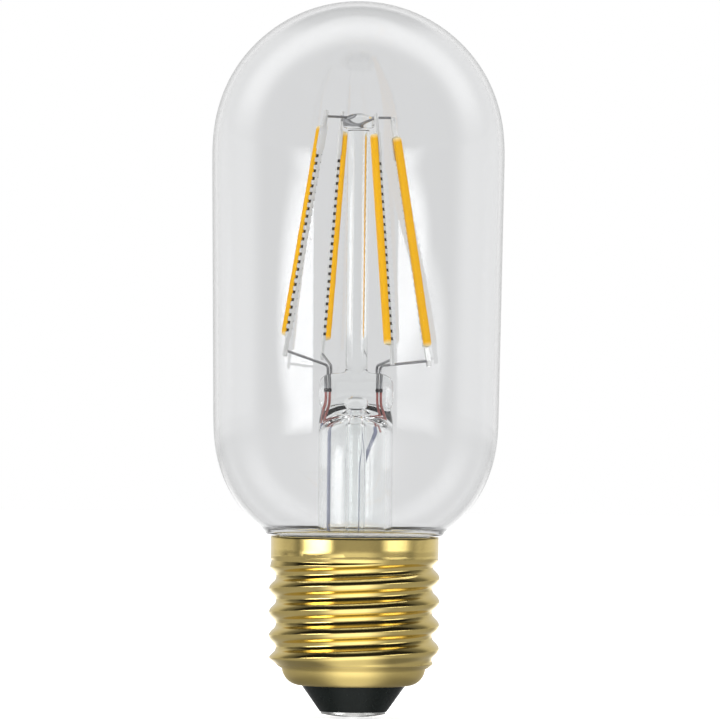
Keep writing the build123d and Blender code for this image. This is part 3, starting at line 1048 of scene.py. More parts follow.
@dataclass
class GlassStem:
    """Flare tube, press, exhaust tube and support rod, fused into one piece of glass."""

    exhaust_radius: float = 1.6
    exhaust_tip: float = 13.0
    bore_radius: float = 1.0
    bore_tip: float = 14.4
    flare_radius: float = 5.7
    flare_bore: float = 4.6
    mouth_radius: float = 10.5
    mouth_height: float = 24.8
    mouth_bend: float = 4.8
    neck_radius: float = 11.5
    neck_end: float = 20.0
    seat_gap: float = 0.02
    press_half: Point = (5.75, 2.25)
    press_top: float = 52.9
    rod_radius: float = 1.65
    button_radius: float = 2.45
    button_low: float = 90.46
    button_top: float = 92.81
    hole_height: float = 48.3
    hole_half: Point = (1.8, 1.05)
    segments: int = 80
    bore_segments: int = 40
    crease: float = 50.0

    def build(self, material: bpy.types.Material) -> bpy.types.Object:
        """Lofts the stem's skin and cuts the exhaust bore and the blow hole out of it.

        Args:
            material: Its glass.

        Returns:
            The piece.
        """
        stands_for = ("stem_flare", "exhaust_tube", "support_rod")
        stem = make_piece("glass_stem", self.skin(), material, stands_for, self.crease)
        tool = to_object("exhaust_bore", self.bore())
        cut = stem.modifiers.new("Bore", "BOOLEAN")
        cut.operation = "DIFFERENCE"
        cut.solver = "EXACT"
        cut.object = tool
        graph = bpy.context.evaluated_depsgraph_get()
        data = bpy.data.meshes.new_from_object(stem.evaluated_get(graph))
        stem.modifiers.clear()
        stem.data = data
        data.name = "glass_stem"
        smooth(data, self.crease)
        bpy.data.meshes.remove(tool.data)
        LOG.info("glass_stem with its bore: %d faces", len(data.polygons))
        return stem

    def skin(self) -> bmesh.types.BMesh:
        """The closed outer skin, from the exhaust tube's tip up to the button.

        Returns:
            The skin.
        """
        tip = self.exhaust_tip + self.exhaust_radius
        loft = RingLoft(self.round_ring(self.exhaust_radius, tip, -75.0), self.segments)
        for degrees in (-60.0, -45.0, -30.0, -15.0, 0.0):
            loft.to(self.round_ring(self.exhaust_radius, tip, degrees))
        for height in (20.0, 28.0, 36.0, 43.0):
            loft.to(Ring(height, self.exhaust_radius, self.exhaust_radius))
        self.roof(loft)
        self.mouth(loft)
        self.press(loft)
        self.rod_and_button(loft)
        return loft.close(self.exhaust_tip, self.button_top)

    @staticmethod
    def round_ring(radius: float, centre: float, degrees: float) -> Ring:
        """A round section of a sphere at one latitude."""
        size = radius * math.cos(math.radians(degrees))
        return Ring(centre + radius * math.sin(math.radians(degrees)), size, size)

    def roof(self, loft: RingLoft) -> None:
        """Carries the loft over the arched roof of the flare tube, which the press flattens.

        Args:
            loft: The stem's loft.
        """
        inner = self.exhaust_radius
        loft.through(
            Ring(44.6, inner, inner),
            Ring(45.2, inner + 0.06, inner + 0.05),
            Ring(45.65, inner + 0.26, inner + 0.16),
            Ring(45.9, inner + 0.6, inner + 0.34),
            Ring(45.97, inner + 1.0, inner + 0.6),
            Ring(45.85, inner + 1.5, inner + 0.95),
            Ring(45.5, inner + 2.05, inner + 1.45),
            Ring(45.0, inner + 2.5, inner + 2.0),
            Ring(44.4, inner + 2.8, inner + 2.45),
            Ring(43.6, inner + 2.95, inner + 2.78),
            Ring(42.4, self.flare_bore, inner + 2.95),
            Ring(41.0, self.flare_bore, self.flare_bore),
        )

    def mouth(self, loft: RingLoft) -> None:
        """Carries the loft down the bore, round the mouth's rim and up the outside.

        Args:
            loft: The stem's loft.
        """
        wall = self.flare_radius - self.flare_bore
        for height in (36.0, 30.0):
            loft.to(Ring(height, self.flare_bore, self.flare_bore))
        sweeps = [step * 7.5 for step in range(13)]
        for degrees in sweeps:
            loft.to(self.mouth_ring(self.mouth_bend + wall, degrees))
        low, high = self.neck_end - wall, self.neck_end - self.seat_gap
        for radius, height in ((self.neck_radius, low), (self.neck_radius, high), (self.mouth_radius, high)):
            loft.to(Ring(height, radius, radius))
        for degrees in reversed(sweeps[:-1]):
            loft.to(self.mouth_ring(self.mouth_bend, degrees))

    def mouth_ring(self, bend: float, degrees: float) -> Ring:
        """A section on the mouth's round, from straight tube at 0 to flat rim at 90 degrees."""
        radius = self.mouth_radius - bend * math.cos(math.radians(degrees))
        return Ring(self.mouth_height - bend * math.sin(math.radians(degrees)), radius, radius)

    def press(self, loft: RingLoft) -> None:
        """Carries the loft up the flare and over the flat press, with its pinched waist.

        Args:
            loft: The stem's loft.
        """
        outer = self.flare_radius
        wide, deep = self.press_half
        for height in (30.0, 36.0, 40.0):
            loft.to(Ring(height, outer, outer))
        loft.through(
            Ring(42.5, outer, outer - 0.05),
            Ring(44.0, outer, outer - 0.25),
            Ring(45.2, outer - 0.02, outer - 0.7),
            Ring(46.1, outer - 0.12, outer - 1.4, 2.1),
            Ring(46.8, outer - 0.28, outer - 2.2, 2.3),
            Ring(47.3, outer - 0.34, deep + 0.72, 2.5),
            Ring(47.7, outer - 0.22, deep + 0.34, 2.8),
            Ring(48.2, wide - 0.08, deep + 0.08, 3.0),
            Ring(48.9, wide, deep, 3.2),
            Ring(50.2, wide, deep, 3.2),
            Ring(51.2, wide - 0.02, deep, 3.2),
            Ring(51.8, wide - 0.18, deep - 0.04, 3.1),
            Ring(52.2, wide - 0.5, deep - 0.12, 3.0),
            Ring(52.5, wide - 0.95, deep - 0.24, 2.9),
            Ring(52.72, wide - 1.55, deep - 0.35, 2.7),
            Ring(52.85, wide - 2.35, deep - 0.42, 2.5),
            Ring(self.press_top, wide - 3.2, deep - 0.42, 2.2),
            Ring(53.02, self.rod_radius + 0.3, self.rod_radius + 0.12),
            Ring(53.2, self.rod_radius + 0.1, self.rod_radius + 0.05),
            Ring(53.5, self.rod_radius, self.rod_radius),
        )

    def rod_and_button(self, loft: RingLoft) -> None:
        """Carries the loft up the rod and round the button.

        Args:
            loft: The stem's loft.
        """
        for height in (60.0, 70.0, 80.0, self.button_low - 0.5):
            loft.to(Ring(height, self.rod_radius, self.rod_radius))
        low, high, wide = self.button_low, self.button_top, self.button_radius
        for height, radius in (
            (low - 0.2, self.rod_radius + 0.03),
            (low - 0.04, self.rod_radius + 0.14),
            (low + 0.02, self.rod_radius + 0.4),
            (low + 0.08, wide - 0.22),
            (low + 0.24, wide - 0.06),
            (low + 0.5, wide),
            (low + 0.9, wide),
            (low + 1.3, wide - 0.04),
            (low + 1.62, wide - 0.22),
            (low + 1.9, wide - 0.58),
            (low + 2.12, wide - 1.05),
            (high - 0.1, wide - 1.6),
            (high - 0.02, wide - 2.1),
        ):
            loft.to(Ring(height, radius, radius))

    def bore(self) -> bmesh.types.BMesh:
        """The hollow of the exhaust tube, which turns to the front and widens into the blow hole.

        Returns:
            The closed hollow.
        """
        radius = self.bore_radius
        centre = self.bore_tip + radius
        loft = RingLoft(self.round_ring(radius, centre, -70.0), self.bore_segments)
        for degrees in (-45.0, -20.0, 0.0):
            loft.to(self.round_ring(radius, centre, degrees))
        for height in (24.0, 34.0, 44.0, 46.2):
            loft.to(Ring(height, radius, radius))
        wide, tall = self.hole_half
        turns = (
            (20.0, -0.1, 47.0, 1.15, 1.0),
            (42.0, -0.4, 47.7, 1.4, 1.02),
            (64.0, -0.9, 48.15, 1.62, tall),
            (82.0, -1.5, self.hole_height, wide - 0.05, tall),
            (90.0, -2.1, self.hole_height, wide, tall),
            (90.0, -2.8, self.hole_height, wide + 0.2, tall + 0.15),
        )
        frame = Matrix.Identity(4)
        for degrees, depth, height, half_width, half_depth in turns:
            place = Matrix.Translation(Vector((0.0, depth, height)) * MM)
            frame = place @ Matrix.Rotation(math.radians(degrees), 4, "X")
            loft.to(Ring(0.0, half_width, half_depth), frame)
        return loft.close(self.bore_tip, 0.3, frame)


@dataclass(frozen=True)
class FilamentPlace:
    """Where one filament stands: plan angle, slide along itself and twist, as its solids have it."""

    number: int
    angle: float
    slide: float
    twist: float


@dataclass
class FilamentSet:
    """The four filaments: where they stand, and the phosphor beads on their strips."""

    RUN = "bead_run"

    places: tuple[FilamentPlace, ...] = (
        FilamentPlace(1, 205.0, 1.4, 30.0),
        FilamentPlace(2, 115.0, 0.9, -10.0),
        FilamentPlace(3, 295.0, 0.2, 0.0),
        FilamentPlace(4, 25.0, 0.0, 0.0),
    )
    foot_height: float = 56.9
    foot_radius: float = 12.0
    top_radius: float = 6.3
    length: float = 33.0
    width: float = 1.3
    height: float = 0.95
    crown: float = 0.5
    square: float = 2.5
    lump: float = 0.025
    lump_scale: float = 0.55
    lump_shift: float = 7.3
    end_run: float = 0.7
    end_height: float = 0.45
    end_crowding: float = 0.35
    sections: int = 84
    segments: int = 32

    def frame(self, place: FilamentPlace) -> Matrix:
        """The axes of one filament: x across the strip, y off its face, z up along it.

        Args:
            place: Where the filament stands.

        Returns:
            The axes, at the foot of its phosphor.
        """
        tilt = math.asin((self.foot_radius - self.top_radius) / self.length)
        up = Vector((0.0, 0.0, 1.0))
        outward = Vector((math.cos(math.radians(place.angle)), math.sin(math.radians(place.angle)), 0.0))
        radius = self.foot_radius - place.slide * math.tan(tilt)
        origin = outward * radius + up * (self.foot_height + place.slide)
        along = up * math.cos(tilt) - outward * math.sin(tilt)
        facing = Matrix.Rotation(math.radians(place.twist), 3, along) @ outward.cross(up)
        across = facing.cross(along)
        axes = Matrix((across, facing, along)).transposed().to_4x4()
        return Matrix.Translation(origin * MM) @ axes

    def build(self, material: bpy.types.Material) -> None:
        """Lofts the phosphor beads.

        Args:
            material: Their finish.
        """
        for place in self.places:
            name, node = f"phosphor_bead_{place.number}", f"filament_phosphor_{place.number}"
            piece = make_piece(name, self.bead(place), material, (node,))
            self.mark_run(piece, self.frame(place))

    def bead(self, place: FilamentPlace) -> bmesh.types.BMesh:
        """One bead: a rounded, slightly lumpy run of silicone with full ends.

        Args:
            place: Where its filament stands.

        Returns:
            The closed bead.
        """
        loft = None
        for step in range(1, self.sections):
            share = step / self.sections
            run = 0.5 - 0.5 * math.cos(math.pi * share)
            along = self.length * (self.end_crowding * run + (1.0 - self.end_crowding) * share)
            near = min(along, self.length - along)
            full = math.sqrt(max(0.0, 1.0 - (1.0 - min(1.0, near / self.end_run)) ** 2))
            wave = noise.noise(Vector((along * self.lump_scale, place.number * self.lump_shift, 0.0)))
            swell = 1.0 - self.lump + self.lump * wave
            half = self.width / 2 * full * swell
            tall = (self.end_height + (1.0 - self.end_height) * full) * swell
            side = (self.height - self.crown) * tall
            ring = Ring(along, half, self.crown * tall, self.square, side, side)
            if loft is None:
                loft = RingLoft(ring, self.segments, self.frame(place))
            else:
                loft.to(ring)
        return loft.close(0.0, self.length)

    def mark_run(self, piece: bpy.types.Object, frame: Matrix) -> None:
        """Writes each point's place along the bead, from 0 at its foot to 1 at its top.

        Args:
            piece: The bead.
            frame: Its filament's axes.
        """
        back = frame.inverted()
        runs = piece.data.attributes.new(self.RUN, "FLOAT", "POINT")
        values = [(back @ vert.co).z / (self.length * MM) for vert in piece.data.vertices]
        runs.data.foreach_set("value", values)


@dataclass
class Welds:
    """Weld beads where nickel wire meets seal wire in the press, and pads at the filaments' pins."""

    level: float = 50.2
    places: tuple[float, ...] = (-4.4, -3.9, 3.15, 3.65)
    wire_radius: float = 0.2
    bead_radius: float = 0.27
    bead_half: float = 0.3
    pin_length: float = 3.0
    first_pin: float = 2.4
    pin_inset: Point = (0.5, 0.45)
    pad_half: tuple[float, float, float] = (0.4, 0.1, 0.42)
    pad_square: float = 3.5
    strip_thickness: float = 0.4
    bead_segments: int = 20
    pad_segments: int = 24

    def build(self, filaments: FilamentSet, bead: bpy.types.Material, pad: bpy.types.Material) -> None:
        """Makes the beads and the pads.

        Args:
            filaments: The filaments that the pads sit on.
            bead: Finish of the beads.
            pad: Finish of the pads.
        """
        for number, place in enumerate(self.places, start=1):
            frame = Matrix.Translation(Vector((place, 0.0, self.level)) * MM)
            make_piece(f"seal_weld_{number}", self.bead(frame), bead)
        low, high = self.pin_inset
        for place in filaments.places:
            upper = filaments.length + (self.first_pin if place.number == 1 else self.pin_length)
            for end, along in (("lower", low - self.pin_length), ("upper", upper - high)):
                frame = filaments.frame(place) @ Matrix.Translation(Vector((0.0, 0.0, along)) * MM)
                make_piece(f"pin_weld_{end}_{place.number}", self.pad(frame), pad)

    def bead(self, frame: Matrix) -> bmesh.types.BMesh:
        """A butt weld: a collar round the wire with a waist on each side.

        Args:
            frame: Its axes.

        Returns:
            The closed bead.
        """
        half, full, bare = self.bead_half, self.bead_radius, self.wire_radius
        loft = RingLoft(Ring(-half, bare, bare), self.bead_segments, frame)
        for share, size in ((-0.7, 0.35), (-0.35, 0.9), (0.0, 1.0), (0.35, 0.8), (0.7, 0.3), (1.0, 0.0)):
            radius = bare + (full - bare) * size
            loft.to(Ring(share * half, radius, radius))
        return loft.close(-half, half)

    def pad(self, frame: Matrix) -> bmesh.types.BMesh:
        """A pressed weld pad: a thin rounded plate round the pin with softened edges.

        Args:
            frame: The pin's axes.

        Returns:
            The closed pad.
        """
        wide, thick, tall = self.pad_half
        middle = -self.strip_thickness / 2
        body = thick + self.strip_thickness / 2
        square = self.pad_square
        loft = RingLoft(Ring(-tall, wide * 0.7, body * 0.6, square, middle), self.pad_segments, frame)
        for share, size in ((-0.8, 0.93), (-0.4, 1.0), (0.0, 0.96), (0.4, 1.0), (0.8, 0.93), (1.0, 0.7)):
            loft.to(Ring(share * tall, wide * size, body * (0.6 + 0.4 * size), square, middle))
        return loft.close(-tall, tall)


@dataclass
class ScrewShell:
    """The brass shell: a turned-in lip, a bowl, a rolled thread and a plain collar."""

    lip_radius: float = 8.0
    lip_height: float = 4.85
    bowl_radius: float = 11.05
    bowl_bend: float = 2.85
    bowl_top: float = 8.0
    root_radius: float = 12.05
    root_low: float = 9.4
    root_top: float = 23.15
    collar_low: float = 24.15
    collar_radius: float = 12.9
    rim_height: float = 27.75
    sheet: float = 0.3
    pitch: float = 3.629
    depth: float = 1.05
    crest_height: float = 10.6
    crest_swell: float = 0.015
    runout: Point = (7.3, 9.0)
    runin: Point = (22.25, 24.65)
    runin_drop: float = 0.4
    blend: float = 0.22
    blend_reach: float = 0.1
    foot_ease: float = 0.25
    top_ease: float = 0.2
    cut_low: float = 7.7
    cut_high: float = 24.9
    turns: int = 8
    turns_below: int = 3
    steps: int = 144
    wave_points: int = 24
    bowl_steps: int = 16
    collar_step: float = 0.5
    collar_steps: int = 5
    crease: float = 60.0

    def build(self, material: bpy.types.Material) -> bpy.types.Object:
        """Spins the thread, trims it, carries it on into bowl and collar and gives it its thickness.

        Args:
            material: Its brass.

        Returns:
            The piece.
        """
        mesh = self.thread()
        rims = [edge for edge in mesh.edges if edge.is_boundary]
        middle = (self.cut_low + self.cut_high) / 2 * MM
        self.carry(mesh, [edge for edge in rims if edge.verts[0].co.z > middle], self.collar_profile())
        self.carry(mesh, [edge for edge in rims if edge.verts[0].co.z < middle], self.bowl_profile())
        bmesh.ops.remove_doubles(mesh, verts=mesh.verts[:], dist=WELD)
        bmesh.ops.recalc_face_normals(mesh, faces=mesh.faces[:])
        shell = make_piece("brass_shell", mesh, material, ("screw_shell",), self.crease)
        wall = shell.modifiers.new("Sheet", "SOLIDIFY")
        wall.thickness = self.sheet * MM
        wall.offset = -1.0
        return shell

    def base(self, height: float) -> float:
        """The shell's radius without its thread, between the two trims.

        Args:
            height: The height.

        Returns:
            The radius there.
        """
        foot = ease(self.bowl_top - self.foot_ease, self.root_low + self.foot_ease, height)
        top = ease(self.root_top - self.top_ease, self.collar_low + self.top_ease, height)
        rise = (self.root_radius - self.bowl_radius) * foot
        return self.bowl_radius + rise + (self.collar_radius - self.root_radius) * top

    def radius(self, height: float, wave: float) -> float:
        """The shell's radius with its thread.

        Args:
            height: The height.
            wave: The thread's wave there, from 0 in the root to 1 on the crest.

        Returns:
            The larger of plain shell and thread, blended softly, inside the thread's run-out.
        """
        plain = self.base(height)
        crest = self.root_radius + self.depth
        below, above = (
            min(1.0, max(0.0, (height - low) / (high - low))) for low, high in (self.runout, self.runin)
        )
        limit = self.bowl_radius + (crest - self.bowl_radius) * below - self.runin_drop * above
        gap = min(self.root_radius + self.depth * wave, limit) - plain
        dent = self.blend * math.exp(-gap * gap / self.blend_reach)
        return plain + 0.5 * (gap + math.hypot(gap, self.blend) - dent)

    def thread(self) -> bmesh.types.BMesh:
        """One pitch of the wave spun along its helix, run out and trimmed at both ends.

        Returns:
            The thread's surface.
        """
        start = self.crest_height - self.turns_below * self.pitch
        pen = ProfilePen(self.root_radius + self.depth, start)
        for step in range(1, self.wave_points + 1):
            share = step / self.wave_points
            side = min(2 * share, 2 - 2 * share)
            wave = 0.5 + 0.5 * math.cos(math.pi * (side - self.crest_swell * math.sin(math.tau * side)))
            pen.line(self.root_radius + self.depth * wave, start + self.pitch * share)
        mesh = pen.mesh
        bmesh.ops.spin(
            mesh,
            geom=mesh.verts[:] + mesh.edges[:],
            cent=(0.0, 0.0, 0.0),
            axis=(0.0, 0.0, 1.0),
            dvec=(0.0, 0.0, self.pitch * MM / self.steps),
            angle=math.tau * self.turns,
            steps=self.steps * self.turns,
            use_merge=False,
        )
        bmesh.ops.remove_doubles(mesh, verts=mesh.verts[:], dist=WELD)
        for vert in mesh.verts:
            flat = vert.co.xy.length / MM
            wave = (flat - self.root_radius) / self.depth
            vert.co.xy *= self.radius(vert.co.z / MM, wave) / flat
        for level, side in ((self.cut_low, -1.0), (self.cut_high, 1.0)):
            bmesh.ops.bisect_plane(
                mesh,
                geom=mesh.verts[:] + mesh.edges[:] + mesh.faces[:],
                dist=WELD,
                plane_co=(0.0, 0.0, level * MM),
                plane_no=(0.0, 0.0, side),
                clear_outer=True,
            )
        return mesh

    def collar_profile(self) -> list[Point]:
        """Radius and height of the rings from the thread up to the collar's rim."""
        heights = [self.cut_high + step * self.collar_step for step in range(1, self.collar_steps + 1)]
        return [(self.collar_radius, height) for height in (*heights, self.rim_height)]

    def bowl_profile(self) -> list[Point]:
        """Radius and height of the rings from the thread down round the bowl to the lip.

        Returns:
            The rings.
        """
        bend = self.bowl_bend
        middle, level = self.bowl_radius - bend, self.lip_height + bend
        angles = [-math.pi / 2 * step / self.bowl_steps for step in range(1, self.bowl_steps + 1)]
        rings = [(middle + bend * math.cos(angle), level + bend * math.sin(angle)) for angle in angles]
        return [*rings, (self.lip_radius, self.lip_height)]

    @staticmethod
    def carry(mesh: bmesh.types.BMesh, edges: list, profile: list[Point]) -> None:
        """Extrudes a round edge loop along a profile.

        Args:
            mesh: The shell's mesh.
            edges: The loop.
            profile: Radius and height of each new ring.
        """
        for radius, height in profile:
            verts, edges = extend_loop(mesh, edges)
            for vert in verts:
                vert.co.xy *= radius * MM / vert.co.xy.length
                vert.co.z = height * MM


@dataclass
class PlainParts:
    """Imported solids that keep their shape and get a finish."""

    nodes: dict[str, bpy.types.Object]
    groups: dict[str, list[str]] = field(
        default_factory=lambda: {
            "insulator": ["cap_insulator"],
            "contact": ["centre_contact"],
            "cement": ["cap_cement"],
            "nickel_wire": [
                *(f"inner_lead_{number}" for number in range(1, 5)),
                "upper_anchor_wire",
                "lower_anchor_wire",
            ],
            "seal_wire": [f"seal_wire_{number}" for number in range(1, 5)],
            "lead_wire": ["outer_lead_left", "outer_lead_right"],
            "board": ["driver_board"],
            "moulded": ["rectifier", "driver_chip"],
            "can": ["smoothing_capacitor"],
            "coat": ["fuse_resistor"],
            "hook_up": ["contact_wire", "shell_wire"],
        }
    )

    def build(self, finishes: FinishSet, effects: Effects) -> None:
        """Dresses every group.

        Args:
            finishes: The lamp's finishes.
            effects: The shared finish groups.
        """
        for finish, names in self.groups.items():
            dress(self.nodes, names, getattr(finishes, finish).material(effects))
        filaments = FilamentSet()
        for place in filaments.places:
            axes = filaments.frame(place)
            across = axes.col[0].xyz
            # Each strip's finish places its painted notch shade at that filament's own notches.
            strip = replace(
                finishes.strip,
                name=f"PlatedStrip_{place.number}",
                slide=place.slide,
                across=tuple(across),
                offset=axes.translation.dot(across),
            )
            dress(self.nodes, [f"filament_strip_{place.number}"], strip.material(effects))


# Studio


def stand(bearing: float, distance: float, height: float) -> Vector:
    """A place in the studio.

    Args:
        bearing: Degrees to the right of the camera's side.
        distance: Distance from the lamp's axis, in metres.
        height: Height, in metres.

    Returns:
        The place.
    """
    angle = math.radians(bearing)
    return Vector((math.sin(angle) * distance, -math.cos(angle) * distance, height))


@dataclass(frozen=True)
class Softbox:
    """A soft area lamp: bearing from the camera's side, height, distance and size in metres."""

    name: str
    bearing: float
    height: float
    distance: float
    size: Point
    watts: float

    def build(self, aim: Vector) -> bpy.types.Object:
        """Sets the lamp up and turns it to the object.

        Args:
            aim: The point that it faces.

        Returns:
            The lamp.
        """
        data = bpy.data.lights.new(self.name, "AREA")
        data.shape = "RECTANGLE"
        data.size, data.size_y = self.size
        data.energy = self.watts
        lamp = bpy.data.objects.new(self.name, data)
        lamp.location = stand(self.bearing, self.distance, self.height)
        lamp.rotation_euler = (lamp.location - aim).to_track_quat("Z", "Y").to_euler()
        lamp.visible_camera = False
        lamp.visible_glossy = False
        lamp.visible_transmission = False
        bpy.context.scene.collection.objects.link(lamp)
        return lamp


class Show(Enum):
    """What shows a glow card, with the step in ray depth from which a glass wall is the far one."""

    FAR = (3.5, 4.5)
    METAL = (0.0, 0.0)


@dataclass(frozen=True)
class GlowCard:
    """A bright screen that only mirrors and glass show: sharp inner edge, soft round outer side."""

    name: str
    inner: float
    outer: float
    distance: float
    middle: float
    reach_up: float
    reach_down: float
    strength: float
    show: Show
    edge: float = 0.6
    soft: float = 0.0
    slat: float = 0.0
    slat_gap: float = 0.12
    slat_slope: float = 2.0
    slat_glow: float = 0.65

    def build(self) -> None:
        """Sets the card up, turned to the lamp's axis."""
        half = self.distance * math.tan(math.radians(abs(self.outer - self.inner) / 2))
        mesh = bmesh.new()
        bmesh.ops.create_grid(mesh, x_segments=1, y_segments=1, size=1.0)
        bmesh.ops.scale(mesh, vec=(half, max(self.reach_up, self.reach_down), 1.0), verts=mesh.verts[:])
        card = self.set_up(self.name, mesh, self.material(half, self.inner > 0.0))
        if self.slat:
            self.louvre(half)

    def set_up(self, name: str, mesh: bmesh.types.BMesh, material: bpy.types.Material) -> bpy.types.Object:
        """Stands a mesh at the card's place, where only mirrors and glass show it.

        Args:
            name: The object's name.
            mesh: Its bmesh, with x across the card and y up.
            material: Its finish.

        Returns:
            The object.
        """
        made = to_object(name, mesh)
        made.location = stand((self.inner + self.outer) / 2, self.distance, self.middle)
        away = Vector((made.location.x, made.location.y, 0.0))
        made.rotation_euler = away.to_track_quat("Z", "Y").to_euler()
        made.visible_camera = False
        made.visible_diffuse = False
        made.visible_shadow = False
        made.data.materials.append(material)
        return made

    def louvre(self, half: float) -> None:
        """Stands a row of thin slats before the card, so that only level views show its glow.

        Args:
            half: Half the card's width.
        """
        gap = self.slat * self.slat_gap
        turn = Matrix.Rotation(math.radians(90.0 - self.slat_slope), 3, "X")
        mesh = bmesh.new()
        bmesh.ops.create_grid(mesh, x_segments=1, y_segments=1, size=1.0)
        bmesh.ops.scale(mesh, vec=(half, self.slat / 2, 1.0), verts=mesh.verts[:])
        bmesh.ops.rotate(mesh, matrix=turn, verts=mesh.verts[:])
        bmesh.ops.translate(mesh, vec=(0.0, -self.reach_down, -self.slat), verts=mesh.verts[:])
        material, sheet = start_material(f"{self.name}Slats")
        self.glow(sheet, self.shown(sheet), self.slat_glow)
        slats = self.set_up(f"{self.name}Slats", mesh, material)
        row = slats.modifiers.new("Row", "ARRAY")
        row.count = round((self.reach_up + self.reach_down) / gap)
        row.use_relative_offset = False
        row.use_constant_offset = True
        row.constant_offset_displace = (0.0, gap, 0.0)

    def material(self, half: float, right: bool) -> bpy.types.Material:
        """The card's glow.

        Args:
            half: Half the card's width.
            right: Whether the card stands to the right of the camera.

        Returns:
            The material.
        """
        material, sheet = start_material(self.name)
        parts = sheet.place("Object")
        side = 0.5 / half if right else -0.5 / half
        out = sheet.math("MULTIPLY_ADD", parts["X"], side, 0.5)
        rise = sheet.math(
            "MAXIMUM",
            sheet.math("MULTIPLY", parts["Y"], 1.0 / self.reach_up),
            sheet.math("MULTIPLY", parts["Y"], -1.0 / self.reach_down),
        )
        fade = sheet.math("SUBTRACT", 1.0, sheet.step(sheet.length(out, rise), self.edge, 1.0))
        if self.soft:
            fade = sheet.math("MULTIPLY", fade, sheet.step(out, 0.0, self.soft))
        self.glow(sheet, sheet.math("MULTIPLY", fade, self.shown(sheet)), self.strength)
        return material

    def shown(self, sheet: NodeSheet) -> bpy.types.NodeSocket:
        """Tells the rays that show the card from the others.

        Args:
            sheet: The material's sheet.

        Returns:
            One for a ray that shows the card, else zero.
        """
        metal = sheet.math("GREATER_THAN", sheet.light_path(Ray.GLOSSY), sheet.light_path(Ray.SINGULAR))
        if self.show is Show.METAL:
            return metal
        depth = sheet.light_path(Ray.DEPTH)
        deep = sheet.step(depth, *self.show.value)
        mirrored = sheet.math("MULTIPLY", deep, sheet.math("MODULO", depth, 2.0))
        return sheet.math("MULTIPLY", sheet.math("SUBTRACT", 1.0, metal), mirrored)

    @staticmethod
    def glow(sheet: NodeSheet, share: bpy.types.NodeSocket, strength: float) -> None:
        """Makes a sheet glow in one share and stay clear in the rest.

        Args:
            sheet: The material's sheet.
            share: Share of the glow.
            strength: Strength of the glow.
        """
        nodes = sheet.tree.nodes
        nodes.remove(nodes["Principled BSDF"])
        light = sheet.add("ShaderNodeEmission", {"Strength": strength})
        clear = sheet.add("ShaderNodeBsdfTransparent")
        mixed = sheet.shaders(share, clear.outputs["BSDF"], light.outputs["Emission"])
        sheet.link(mixed, nodes["Material Output"].inputs["Surface"])


